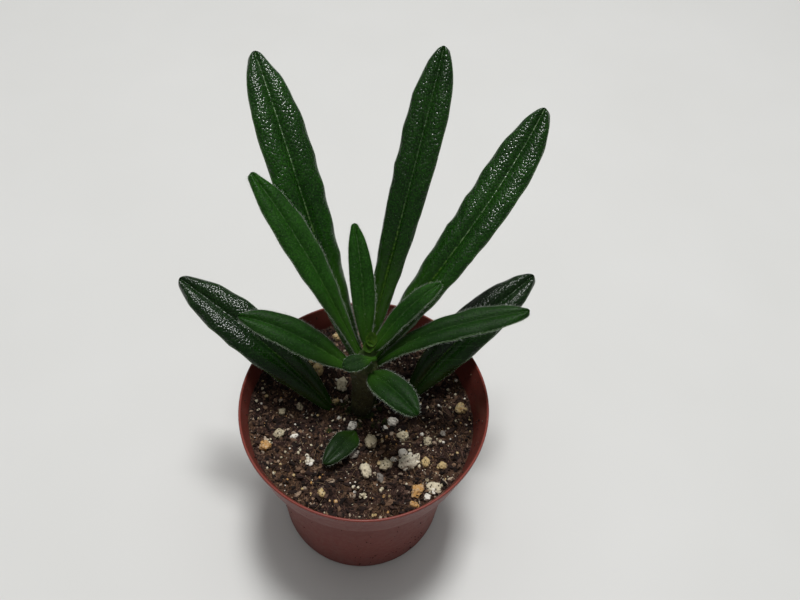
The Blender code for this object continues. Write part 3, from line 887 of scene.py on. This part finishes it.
def moss_finish():
    """Damp moss: deep to bright green, with browner patches."""
    paint = Paint("damp_moss", roughness=0.7, specular=0.2)
    tone = paint.attribute("tone")[0]
    colour = paint.ramp(
        tone, (0.0, (0.012, 0.020, 0.004)), (0.6, (0.035, 0.070, 0.010)), (1.0, (0.080, 0.13, 0.020))
    )
    paint.set("Base Color", paint.mix(paint.noise(0.8 * MM), colour, (0.020, 0.022, 0.006)))
    return paint.material


def build_moss():
    """Low tufts of moss round the stem's foot, fewer further out."""
    rng = random.Random(53)
    shapes = [strand(rng, 2) for _ in range(4)]
    places = []
    for _ in range(MOSS_TUFTS):
        angle = rng.uniform(0, math.tau)
        away = STEM_RADIUS + (0.3 + 7.5 * rng.random() ** 2.5) * MM
        middle = STEM_FOOT + Vector((math.cos(angle), math.sin(angle), 0)) * away
        for _ in range(MOSS_STRANDS):
            x, y = middle.x + rng.gauss(0, 0.45 * MM), middle.y + rng.gauss(0, 0.45 * MM)
            length = rng.uniform(0.5, 1.1) * MM
            way = Vector((rng.gauss(0, 0.5), rng.gauss(0, 0.5), 1)).normalized()
            upright = Vector((1, 0, 0)).rotation_difference(way).to_matrix().to_4x4()
            where = Matrix.Translation(on_soil(x, y, 0.35 * length))
            matrix = where @ upright @ scaled(length, 4 * length, 4 * length)
            places.append((rng.randrange(len(shapes)), matrix, rng.random()))
    scatter("moss_tufts", shapes, places, moss_finish())


def build_wall_specks():
    """Crumbs of peat that stick to the pot's front, near its foot and to its inner wall."""
    rng = random.Random(31)
    shapes = [lump(rng, 1, 0.4) for _ in range(4)]
    places = []
    for index in range(BODY_SPECKS + FOOT_SPECKS):
        on_body = index < BODY_SPECKS
        angle = math.radians(rng.uniform(200, 340) if on_body else rng.gauss(292, 16))
        height = (rng.uniform(8, 57) if on_body else rng.uniform(2, 13)) * MM
        radius = collar_radius(height) if height > POT_HEIGHT - COLLAR_HEIGHT else body_radius(height)
        which = rng.randrange(len(shapes))
        matrix = placed(round_axis(radius, angle, height), rng.uniform(0.2, 0.5) * MM, rng)
        places.append((which, matrix, rng.uniform(0.0, 0.4)))
    for _ in range(INNER_SPECKS):
        angle = math.radians(rng.uniform(-60, 240))
        height = rng.uniform(50.5, 57) * MM
        which = rng.randrange(len(shapes))
        matrix = placed(round_axis(inner_radius(height), angle, height), rng.uniform(0.2, 0.65) * MM, rng)
        places.append((which, matrix, rng.random()))
    scatter("wall_specks", shapes, places, crumb_finish(), smooth=False)


# Stem.


def stem_axis(height):
    share = (height - STEM_FOOT.z) / (STEM_TOP.z - STEM_FOOT.z)
    return STEM_FOOT.lerp(STEM_TOP, share)


def stem_radius(height):
    """Even up to the shoulder, then narrowing to the top."""
    if height <= STEM_SHOULDER:
        return STEM_RADIUS
    share = min(1.0, (height - STEM_SHOULDER) / (STEM_TOP.z - STEM_SHOULDER))
    return STEM_RADIUS + (STEM_TOP_RADIUS - STEM_RADIUS) * share**1.4


def stem_swell(height, angle):
    """The share by which the leaves' bases, which run down the stem, swell it at this height and angle."""
    swell = 0.0
    for leaf in LEAVES:
        if isinstance(leaf.foot, Foot):
            turn = (angle - leaf.foot.angle + 180) % 360 - 180
            below = leaf.foot.height - height / MM
            run = math.exp(-((below / BASE_RUN) ** 2)) if below > 0 else math.exp(-(below**2))
            swell = max(swell, run * math.exp(-((turn / BASE_ANGLE) ** 2)))
    return BASE_SWELL * swell


def stem_finish():
    """Olive to brown bark with rough ridges, green at the top, and darker at the foot with painted shade
    under the leaves.
    """
    paint = Paint("olive_brown_bark", roughness=0.72, specular=0.3)
    rough = paint.noise(1.1 * MM, detail=5, roughness=0.7, distortion=0.6)
    olive = paint.ramp(
        rough, (0.30, (0.020, 0.016, 0.006)), (0.52, (0.050, 0.050, 0.017)), (0.74, (0.11, 0.115, 0.045))
    )
    height = paint.height()
    green = paint.level(height, 69 * MM, 76 * MM)
    skin = paint.mix(green, olive, (0.040, 0.080, 0.012))
    # Painted shade: the bark is mixed towards near black just over the soil, where the leaves shade it.
    foot = paint.level(height, 51 * MM, 57 * MM, 0.75, 0.0)
    paint.set("Base Color", paint.mix(foot, skin, (0.010, 0.012, 0.004)))
    paint.set("Normal", paint.bump(rough, 0.35 * MM))
    return paint.material


def build_stem():
    profile = [(0, STEM_FOOT.z)]
    for step in range(STEM_STEPS + 1):
        height = STEM_FOOT.z + (STEM_TOP.z - STEM_FOOT.z) * step / STEM_STEPS
        profile.append((stem_radius(height), height))
    profile.append((0, STEM_TOP.z))
    bm = turned(profile, STEM_SIDES)
    for vertex in bm.verts:
        height = vertex.co.z
        axis = stem_axis(height)
        spot = vertex.co / (1.3 * MM)
        spot.z *= 0.55
        angle = math.atan2(vertex.co.y, vertex.co.x)
        scars = 0.10 * math.sin(height / (1.15 * MM) + 1.4 * angle)
        rough = 1 + 0.09 * noise.fractal(spot, 0.8, 2.0, 3) + 0.4 * scars * max(0.0, noise.noise(spot * 0.3))
        if math.hypot(vertex.co.x, vertex.co.y) > 0.1 * MM:
            rough += stem_swell(height, math.degrees(angle))
        vertex.co = Vector((vertex.co.x * rough + axis.x, vertex.co.y * rough + axis.y, height))
    piece("stem_bark", smooth_mesh("stem_bark", bm), stem_finish(), "stem")


def build_stem_hairs():
    """Short pale hairs that stand out from the bark, more of them higher up."""
    rng = random.Random(41)
    places = []
    for _ in range(STEM_HAIRS):
        height = STEM_FOOT.z + 5 * MM + (22 * MM) * rng.random() ** 0.7
        angle = rng.uniform(0, math.tau)
        out = Vector((math.cos(angle), math.sin(angle), rng.gauss(0.1, 0.3)))
        reach = stem_radius(height) * (1 + 0.9 * stem_swell(height, math.degrees(angle)))
        root = stem_axis(height) + Vector((out.x, out.y, 0)) * reach
        length = rng.uniform(0.25, 0.60) * MM
        which = rng.randrange(len(HAIR_BENDS))
        hair = hair_place(root, out, length, 0.7 * MM, rng)
        places.append((which, hair, 0.6 * rng.random()))
    scatter("stem_hairs", hair_shapes(), places, hair_finish())


# Leaves.


def heading(angle, slope):
    """The unit vector at these degrees round from +X and up from level."""
    flat = math.cos(math.radians(slope))
    east = flat * math.cos(math.radians(angle))
    north = flat * math.sin(math.radians(angle))
    return Vector((east, north, math.sin(math.radians(slope))))


def blade_share(share):
    """How far the stalk has become a blade: 0 at the foot and 1 from STALK_SHARE on."""
    done = min(1.0, max(0.0, share / STALK_SHARE))
    return done * done * (3 - 2 * done)


def half_width(leaf, share):
    """Half the blade's width: it swells to its widest place and ends in a blunt, round cap."""
    share = min(1.0, max(0.0, share))
    widest = leaf.width * MM / 2
    if share < leaf.widest:
        swell = math.sin(math.pi / 2 * share / leaf.widest) ** leaf.fullness
        return widest * (FOOT_WIDTH + (1 - FOOT_WIDTH) * swell)
    past = (share - leaf.widest) / (1 - leaf.widest)
    body = widest * (1 - past**TIP_ROUND) ** TIP_BLUNT
    cap = TIP_CAP * leaf.width * MM
    reach = min(1.0, (1 - share) * leaf.length * MM / cap)
    blunt = TIP_FULL * cap * math.sqrt(reach * (2 - reach))
    return max(0.05 * MM, (body**TIP_BLEND + blunt**TIP_BLEND) ** (1 / TIP_BLEND))


def leaf_foot(leaf):
    """The middle of the leaf's foot: just off the stem, or on the soil."""
    if isinstance(leaf.foot, Hole):
        x, y = leaf.foot.x * MM, leaf.foot.y * MM
        return Vector((x, y, soil_level(x, y)))
    height = leaf.foot.height * MM
    lean = math.sin(math.radians(leaf.rise[0]))
    skew = math.sin(math.radians(leaf.angle - leaf.foot.angle))
    away = stem_radius(height) + STEM_GAP
    away += STALK_THICK / 2 * abs(lean) + half_width(leaf, 0) * abs(skew)
    return stem_axis(height) + heading(leaf.foot.angle, 0) * away


def leaf_slope(leaf, share):
    """The slope in degrees, a curve through its values at the foot, halfway and at the tip."""
    foot, middle, tip = leaf.rise
    start = (1 - share) * (1 - 2 * share)
    half = 4 * share * (1 - share)
    end = share * (2 * share - 1)
    return foot * start + middle * half + tip * end


def midrib(leaf, steps=200):
    """Points from the leaf's foot to its tip."""
    point = leaf_foot(leaf)
    points = [point]
    for index in range(steps):
        share = (index + 0.5) / steps
        way = heading(leaf.angle + leaf.turn * share, leaf_slope(leaf, share))
        point = point + way * leaf.length * MM / steps
        points.append(point)
    return points


def section_height(leaf, share, across, half):
    """How far the top face lies over the midrib's line at this place across, from -1 to 1."""
    out = abs(across)
    full = blade_share(share)
    groove = -GROOVE * leaf.width * MM * math.exp(-((out / GROOVE_SPREAD) ** 2))
    groove *= 1 - max(0.0, share) ** TIP_FLAT
    pillow = PILLOW * leaf.width * MM * math.sin(math.pi * out) * full
    drop = -MARGIN_DROP * leaf.width * MM * out**4 * full
    vee = VEE * half * out
    phase = math.tau * share * leaf.length * MM / WAVE_PITCH + (1.3 if across > 0 else 0.0)
    wave = leaf.wave * MM * out**4 * math.sin(phase) * full
    return groove + pillow + drop + vee + wave


def thickness(leaf, share, across):
    """The blade's thickness: it thins to rounded margins and to the tip."""
    rib = STALK_THICK + (RIB_THICK - STALK_THICK) * blade_share(share)
    flat = EDGE_THICK + (rib - EDGE_THICK) * (1 - across**2)
    past = max(0.0, abs(across) - 1 + ROUND_MARGIN) / ROUND_MARGIN
    to_tip = (1 - share) * leaf.length * MM
    thinned = 0.6 + 0.4 * min(1.0, to_tip / (8 * MM))
    rounded = min(1.0, math.sqrt(max(0.01, to_tip / (0.7 * MM))))
    return flat * thinned * rounded * math.sqrt(max(0.04, 1 - past**2))


class LeafFrame:
    """Where a place on the leaf, given by its share of the length and across, lies."""

    def __init__(self, leaf):
        self.leaf = leaf
        self.coat = COATS[leaf.age]
        self.points = midrib(leaf)
        self.seed = Vector((leaf.angle, leaf.length, leaf.width)) * 0.37

    def at(self, share):
        """The midrib's point, its side direction and its upward direction."""
        last = len(self.points) - 1
        place = min(max(share, 0.0), 1.0) * last
        index = min(int(place), last - 1)
        first, second = self.points[index], self.points[index + 1]
        way = (second - first).normalized()
        point = first.lerp(second, place - index)
        if share < 0:
            point = point + way * share * self.leaf.length * MM
        level = way.cross(UP).normalized()
        lift = level.cross(way)
        roll = math.radians(self.leaf.roll)
        side = level * math.cos(roll) + lift * math.sin(roll)
        return point, side, side.cross(way)

    def scallop(self, share, across):
        """The margin's shallow scallops, uneven and different on the two sides."""
        along = share * self.leaf.length * MM / SCALLOP_PITCH
        side = 1.0 if across > 0 else -1.0
        wander = noise.noise(Vector((along * 0.8, side * 4.0, 0)) + self.seed)
        cusp = 0.5 - abs(math.sin(math.pi * (along + 0.6 * wander + 0.3 * side)))
        return self.coat.scallop * MM * cusp * (0.5 + wander) * blade_share(share) * (1 - share**6)

    def quilt(self, share, across, half):
        """Soft swells between the side veins, and a finer unevenness."""
        out = abs(across)
        along = (share * self.leaf.length * MM - VEIN_SLANT * out * half) / VEIN_PITCH
        side = SIDE_SHIFT if across > 0 else 0.0
        swell = -abs(math.sin(math.pi * (along + side))) ** 0.7
        spot = Vector((share * self.leaf.length, across * half / MM, 0)) * 0.8 + self.seed
        uneven = noise.fractal(spot, 0.9, 2.1, 2)
        body = math.sin(math.pi * min(1.0, out)) * blade_share(share)
        return self.coat.quilt * MM * body * (0.45 - swell * 0.6 + 0.9 * uneven)

    def place(self, share, across, is_top):
        point, side, lift = self.at(share)
        half = half_width(self.leaf, share) + self.scallop(share, across) * across**2
        thick = thickness(self.leaf, share, across)
        middle = section_height(self.leaf, share, across, half)
        height = middle + thick / 2 if is_top else middle - thick / 2
        if is_top:
            height += self.quilt(share, across, half)
        else:
            height -= 0.25 * MM * math.exp(-((across * half / (0.7 * MM)) ** 2)) * (1 - max(0.0, share))
        return point + side * across * half + lift * height


def crowd(value):
    """Draws grid lines from -1 to 1 closer at the middle and at both margins."""
    size = abs(value)
    moved = size - SIDE_CROWD * math.sin(math.tau * size) / math.tau
    return math.copysign(moved, value)


def foot_share(leaf):
    """How far the leaf runs on past its foot, into the soil or the stem, as a share of its length."""
    past = ROOTED if isinstance(leaf.foot, Hole) else JOINED
    return past / (leaf.length * MM)


def leaf_mesh(leaf_frame):
    """A fine slab with each corner moved to its place, which also keeps that place as attributes."""
    leaf = leaf_frame.leaf
    rooted = foot_share(leaf)
    rows = max(24, round(leaf.length * MM / ROW_PITCH))
    bm = bmesh.new()
    bmesh.ops.create_grid(bm, x_segments=ACROSS, y_segments=rows, size=1.0)
    bmesh.ops.solidify(bm, geom=bm.faces, thickness=0.5)
    place_layer = bm.verts.layers.float_vector.new("leaf_place")
    share_layer = bm.verts.layers.float_vector.new("leaf_share")
    top = max(vertex.co.z for vertex in bm.verts)
    for vertex in bm.verts:
        across = crowd(vertex.co.x)
        along = 1 - (1 - (vertex.co.y + 1) / 2) ** ROW_CROWD
        share = -rooted + (1 + rooted) * along
        is_top = vertex.co.z > top - 0.1
        half = half_width(leaf, share) / MM
        vertex[place_layer] = Vector((share * leaf.length, across * half, 1.0 if is_top else 0.0))
        vertex[share_layer] = Vector((share, abs(across), leaf.deep))
        vertex.co = leaf_frame.place(share, across, is_top)
    return smooth_mesh(leaf.name + "_blade", bm)


def vein_lines(paint, along, across):
    """1 on the slanted side veins, falling to 0 between them."""
    slant = paint.maths("MULTIPLY", paint.maths("ABSOLUTE", across), VEIN_SLANT)
    turns = paint.maths("MULTIPLY", paint.maths("SUBTRACT", along, slant), MM / VEIN_PITCH)
    shift = paint.maths("MULTIPLY", paint.maths("GREATER_THAN", across, 0.0), SIDE_SHIFT)
    shifted = paint.maths("ADD", turns, shift)
    wave = paint.maths("ABSOLUTE", paint.maths("SINE", paint.maths("MULTIPLY", shifted, math.pi)))
    return paint.level(wave, 0.0, 0.28, 1.0, 0.0)


@dataclass(frozen=True)
class Look:
    """The skin of leaves of one age.

    Its roughness runs from gloss to gloss + uneven, and is tip_gloss times that at the tip. Its domes are
    cell mm across and pebble mm high.
    """

    dark: tuple
    light: tuple
    rib: tuple
    rib_foot: tuple
    rib_strength: float
    under: tuple
    gloss: float
    uneven: float
    specular: float
    cell: float
    pebble: float
    tip_gloss: float


LOOKS = {
    "old": Look(
        dark=(0.0020, 0.0175, 0.0005), light=(0.0125, 0.067, 0.003),
        rib=(0.17, 0.25, 0.13), rib_foot=(0.055, 0.115, 0.012), rib_strength=0.75,
        under=(0.060, 0.13, 0.030), gloss=0.13, uneven=0.12, specular=0.42,
        cell=0.60, pebble=0.17, tip_gloss=1.0,
    ),
    "young": Look(
        dark=(0.004, 0.027, 0.001), light=(0.022, 0.094, 0.0075),
        rib=(0.075, 0.13, 0.055), rib_foot=(0.040, 0.10, 0.018), rib_strength=0.6,
        under=(0.060, 0.14, 0.030), gloss=0.50, uneven=0.15, specular=0.14,
        cell=0.40, pebble=0.085, tip_gloss=0.5,
    ),
    "newest": Look(
        dark=(0.008, 0.027, 0.006), light=(0.030, 0.070, 0.020),
        rib=(0.05, 0.10, 0.035), rib_foot=(0.045, 0.10, 0.03), rib_strength=0.2,
        under=(0.06, 0.15, 0.04), gloss=0.60, uneven=0.10, specular=0.05,
        cell=0.40, pebble=0.060, tip_gloss=0.8,
    ),
    "deep": Look(
        dark=(0.004, 0.015, 0.003), light=(0.020, 0.046, 0.012),
        rib=(0.05, 0.09, 0.04), rib_foot=(0.04, 0.07, 0.03), rib_strength=0.3,
        under=(0.05, 0.10, 0.03), gloss=0.36, uneven=0.15, specular=0.15,
        cell=0.40, pebble=0.050, tip_gloss=0.6,
    ),
}


def leaf_finish(age):
    """A leaf's skin: pebbled cells, side veins, a pale midrib, a yellower foot and a lighter underside, with
    painted shade in the hollows between the cells and on the leaves with a larger deep.
    """
    look = LOOKS[age]
    paint = Paint(age + "_leaf_skin", specular=look.specular)
    along, across, top = paint.attribute("leaf_place")
    share, out, deep = paint.attribute("leaf_share")
    pebble = paint.cells(look.cell * MM)
    grain = paint.noise(0.36 * MM, detail=3, roughness=0.75)
    broad = paint.noise(9 * MM, detail=3)
    tone = paint.maths("ADD", paint.maths("MULTIPLY", grain, 0.8), paint.maths("MULTIPLY", broad, 0.35))
    skin = paint.mix(paint.level(tone, 0.42, 0.74), look.dark, look.light)
    # Painted shade: the skin darkens in the hollows between the domes.
    skin = paint.mix(paint.level(pebble, 0.42, 0.66, 0.0, 0.5), skin, look.dark)
    hair_foot = paint.level(paint.cells(0.62 * MM), 0.05, 0.20, 0.35, 0.0)
    skin = paint.mix(hair_foot, skin, look.rib)
    # Painted shade: by deep, the skin is mixed towards near black on the leaves that the light reaches less.
    nearly_black = (0.001, 0.005, 0.0005)
    skin = paint.mix(deep, skin, nearly_black)
    veins = vein_lines(paint, along, across)
    skin = paint.mix(paint.maths("MULTIPLY", veins, 0.03), skin, look.rib)
    foot = paint.level(share, 0.0, 0.46, 0.75, 0.0)
    foot = paint.maths("MULTIPLY", foot, paint.level(deep, 0.3, 0.6, 1.0, 0.4))
    yellow_green = (0.029, 0.090, 0.005)
    skin = paint.mix(foot, skin, yellow_green)
    rib_width = paint.level(share, 0.0, 0.7, 0.50, 0.18)
    from_rib = paint.maths("DIVIDE", paint.maths("ABSOLUTE", across), rib_width)
    dots = paint.level(paint.noise(0.6 * MM, detail=2), 0.42, 0.60, 0.04, 1.0)
    rib = paint.maths("MULTIPLY", paint.level(from_rib, 0.35, 1.0, look.rib_strength, 0.0), dots)
    faded = paint.maths("MULTIPLY", paint.level(share, 0.38, 0.55), paint.level(deep, 0.12, 0.3, 0.0, 0.7))
    rib = paint.maths("MULTIPLY", rib, paint.maths("SUBTRACT", 1.0, faded))
    rib = paint.maths("MULTIPLY", rib, paint.level(deep, 0.3, 0.6, 1.0, 0.35))
    rib_colour = paint.mix(paint.level(share, 0.35, 0.65), look.rib_foot, look.rib)
    skin = paint.mix(rib, skin, rib_colour)
    margin = paint.level(out, 0.94, 1.0, 0.0, 0.7)
    skin = paint.mix(margin, skin, look.under)
    under = paint.maths("MULTIPLY", paint.maths("SUBTRACT", 1.0, top), 0.9)
    brown_stalk = (0.050, 0.050, 0.016)
    below = paint.mix(paint.level(share, 0.06, 0.24), brown_stalk, look.under)
    paint.set("Base Color", paint.mix(under, skin, below))
    rough = paint.level(grain, 0.38, 0.64, look.gloss, look.gloss + look.uneven)
    smooth_tip = paint.level(share, 0.84, 0.97, 1.0, look.tip_gloss)
    paint.set("Roughness", paint.maths("MULTIPLY", rough, smooth_tip))
    paint.let_light_in(0.10, (0.35, 1.0, 0.15), 0.5 * MM)
    fine = paint.bump(grain, 0.010 * MM)
    dome = paint.maths("SUBTRACT", 1.0, paint.maths("MULTIPLY", pebble, pebble))
    dome = paint.maths("MULTIPLY", dome, paint.level(share, 0.46, 0.66, 0.40, 1.0))
    paint.set("Normal", paint.bump(dome, look.pebble * MM, fine))
    return paint.material


def hair_finish():
    """Soft hairs, from leaf green to white by their tone."""
    paint = Paint("soft_white_hairs", roughness=0.45, specular=0.5)
    tone = paint.attribute("tone")[0]
    paint.set("Base Color", paint.mix(tone, (0.040, 0.11, 0.030), (0.80, 0.86, 0.76)))
    return paint.material


def hair_shapes():
    """One hair for each bend, from almost straight to well bent."""
    return [hair_shape(bend) for bend in HAIR_BENDS]


def hair_shape(bend):
    """A slender three-sided hair that leans over as it rises, about 1 tall."""
    bm = cut_rod(0.06, 1)
    for vertex in bm.verts:
        rise = vertex.co.z + 0.5
        vertex.co = Vector((vertex.co.x * 0.036, vertex.co.y * 0.036, rise * (1 - 0.15 * bend)))
        vertex.co.x += bend * rise * rise
    return bm


def hair_place(root, way, length, thick, rng):
    """The matrix of a hair that grows from root along way."""
    turn = UP.rotation_difference(way).to_matrix().to_4x4()
    spin = Matrix.Rotation(rng.uniform(0, math.tau), 4, "Z")
    return Matrix.Translation(root) @ turn @ spin @ scaled(thick, thick, length)


def fringe_places(leaf_frame, rng):
    """Hairs along both margins, which point out and a little towards the tip."""
    leaf, coat = leaf_frame.leaf, leaf_frame.coat
    count = round(leaf.length / coat.fringe_pitch)
    places = []
    for index in range(count):
        for edge in (-1, 1):
            share = (index + rng.random()) / count
            root = leaf_frame.place(share, edge * rng.uniform(0.94, 1.0), rng.random() < 0.6)
            _, side, lift = leaf_frame.at(share)
            forward = lift.cross(side)
            out = side * edge + forward * rng.gauss(0.35, 0.30) + lift * rng.gauss(0.1, 0.4)
            length = coat.fringe * MM * (0.4 + 1.1 * rng.random() ** 2.0)
            which = rng.randrange(len(HAIR_BENDS))
            hair = hair_place(root, out, length, 0.85 * MM, rng)
            places.append((which, hair, rng.uniform(0.45, 1.0)))
    return places


def down_places(leaf_frame, rng):
    """Short hairs over both faces."""
    leaf, coat = leaf_frame.leaf, leaf_frame.coat
    count = round(coat.down_count * leaf.length * leaf.width * 0.7)
    places = []
    while len(places) < count:
        share, across = rng.uniform(0.0, 1.0), rng.uniform(-1, 1)
        if rng.random() * leaf.width * MM / 2 > half_width(leaf, share):
            continue
        is_top = rng.random() < 0.75
        root = leaf_frame.place(share, across, is_top)
        _, side, lift = leaf_frame.at(share)
        up = lift if is_top else -lift
        way = up + side * rng.gauss(0, 0.35) + lift.cross(side) * rng.gauss(0.35, 0.3)
        length = coat.down * MM * rng.uniform(0.5, 1.4)
        which = rng.randrange(len(HAIR_BENDS))
        hair = hair_place(root, way, length, 0.65 * MM, rng)
        places.append((which, hair, 0.8 * rng.random() ** 2.5))
    return places


def build_leaves():
    finishes = {age: leaf_finish(age) for age in COATS}
    hairs = hair_finish()
    shapes = hair_shapes()
    for number, leaf in enumerate(LEAVES):
        leaf_frame = LeafFrame(leaf)
        piece(leaf.name + "_blade", leaf_mesh(leaf_frame), finishes[leaf.age], leaf.name)
        rng = random.Random(100 + number)
        places = fringe_places(leaf_frame, rng) + down_places(leaf_frame, rng)
        scatter(leaf.name + "_hairs", shapes, places, hairs)


# Bud.


def bud_finish():
    """Bright young green, yellower and paler at the cups' lips: partly their own colour and partly painted
    light, lit lips over shaded cups.
    """
    paint = Paint("young_bud_skin", roughness=0.62, specular=0.12)
    grain = paint.noise(0.3 * MM, detail=3, roughness=0.7)
    lip = paint.attribute("lip")[0]
    skin = paint.mix(paint.level(grain, 0.35, 0.65), (0.013, 0.040, 0.0015), (0.027, 0.070, 0.003))
    # Partly painted light: the lips are made paler than the cups' shaded insides.
    paint.set("Base Color", paint.mix(paint.maths("MULTIPLY", lip, 0.6), skin, (0.060, 0.120, 0.014)))
    paint.let_light_in(0.2, (0.4, 1.0, 0.15), 0.4 * MM)
    paint.set("Normal", paint.bump(grain, 0.03 * MM))
    return paint.material


def add_cup(bm, lip_layer, centre, size, back, front, depth):
    """A tiny cupped leaf: a closed bowl whose lip stands at back and front over its foot, in mm."""
    made = bmesh.ops.create_uvsphere(bm, u_segments=40, v_segments=32, radius=1.0)
    for vertex in made["verts"]:
        x, y, z = vertex.co
        reach = min(1.0, math.hypot(x, y))
        edge = (back + front) / 2 + (back - front) / 2 * y
        edge += 0.35 * abs(x) ** 3 + 0.7 * max(0.0, y) ** 4 + 0.12 * math.sin(5 * x + 3 * y)
        lip = reach**9
        if z >= 0:
            height = edge - depth * (1 - reach**2.5)
        else:
            height = edge * (1 + z) ** 0.8
        wide = 0.55 + 0.45 * min(1.0, max(0.0, height / edge)) ** 0.5
        vertex[lip_layer] = Vector((lip, lip, lip)) if z > -0.25 else Vector((0, 0, 0))
        vertex.co = centre + Vector((x * wide * size[0] / 2, y * wide * size[1] / 2, height)) * MM


def build_bud():
    """Two tiny cupped leaves, the front one lower and half round the back one."""
    bm = bmesh.new()
    lip_layer = bm.verts.layers.float_vector.new("lip")
    rear = BUD_PLACE + Vector((0.30, 0.40, 0)) * MM
    fore = BUD_PLACE + Vector((-0.30, -0.70, 0)) * MM
    add_cup(bm, lip_layer, rear, size=(2.7, 2.4), back=5.8, front=3.9, depth=0.55)
    add_cup(bm, lip_layer, fore, size=(2.7, 1.8), back=4.2, front=2.6, depth=0.35)
    piece("bud_leaves", smooth_mesh("bud_leaves", bm), bud_finish(), "bud")


# Stage and light.


def build_floor():
    bm = bmesh.new()
    bmesh.ops.create_grid(bm, x_segments=1, y_segments=1, size=FLOOR_REACH)
    floor = bpy.data.objects.new("floor", smooth_mesh("floor", bm))
    bpy.context.scene.collection.objects.link(floor)
    paint = Paint("pale_painted_board", roughness=0.6, specular=0.3)
    cloudy = paint.noise(60 * MM, detail=2)
    paint.set("Base Color", paint.mix(cloudy, (0.63, 0.63, 0.61), (0.67, 0.67, 0.655)))
    floor.data.materials.append(paint.material)


def soft_lamp(name, place, long, wide, power):
    """A flat lamp, long by wide metres, that shines at the plant."""
    data = bpy.data.lights.new(name, "AREA")
    data.shape = "RECTANGLE"
    data.size = long
    data.size_y = wide
    data.energy = power
    light = bpy.data.objects.new(name, data)
    light.location = Vector(place)
    to_plant = LAMP_AIM - light.location
    light.rotation_euler = to_plant.to_track_quat("-Z", "Y").to_euler()
    bpy.context.scene.collection.objects.link(light)


def build_lights():
    world = bpy.data.worlds.new("studio")
    world.use_nodes = True
    background = world.node_tree.nodes["Background"]
    background.inputs["Color"].default_value = (1.0, 1.0, 1.0, 1.0)
    background.inputs["Strength"].default_value = ALL_ROUND
    bpy.context.scene.world = world
    soft_lamp("overhead_lamp", place=(0.04, 0.19, 1.25), long=0.22, wide=0.26, power=11.5)
    soft_lamp("ceiling_fill", place=(0.0, 0.3, 1.6), long=1.8, wide=1.8, power=9.0)
    bpy.context.scene.view_settings.view_transform = "Standard"


build_camera()
build_pot()
build_soil()
build_crumbs()
build_fibres()
build_granules()
build_wall_specks()
build_stem()
build_stem_hairs()
build_moss()
build_leaves()
build_bud()
build_floor()
build_lights()
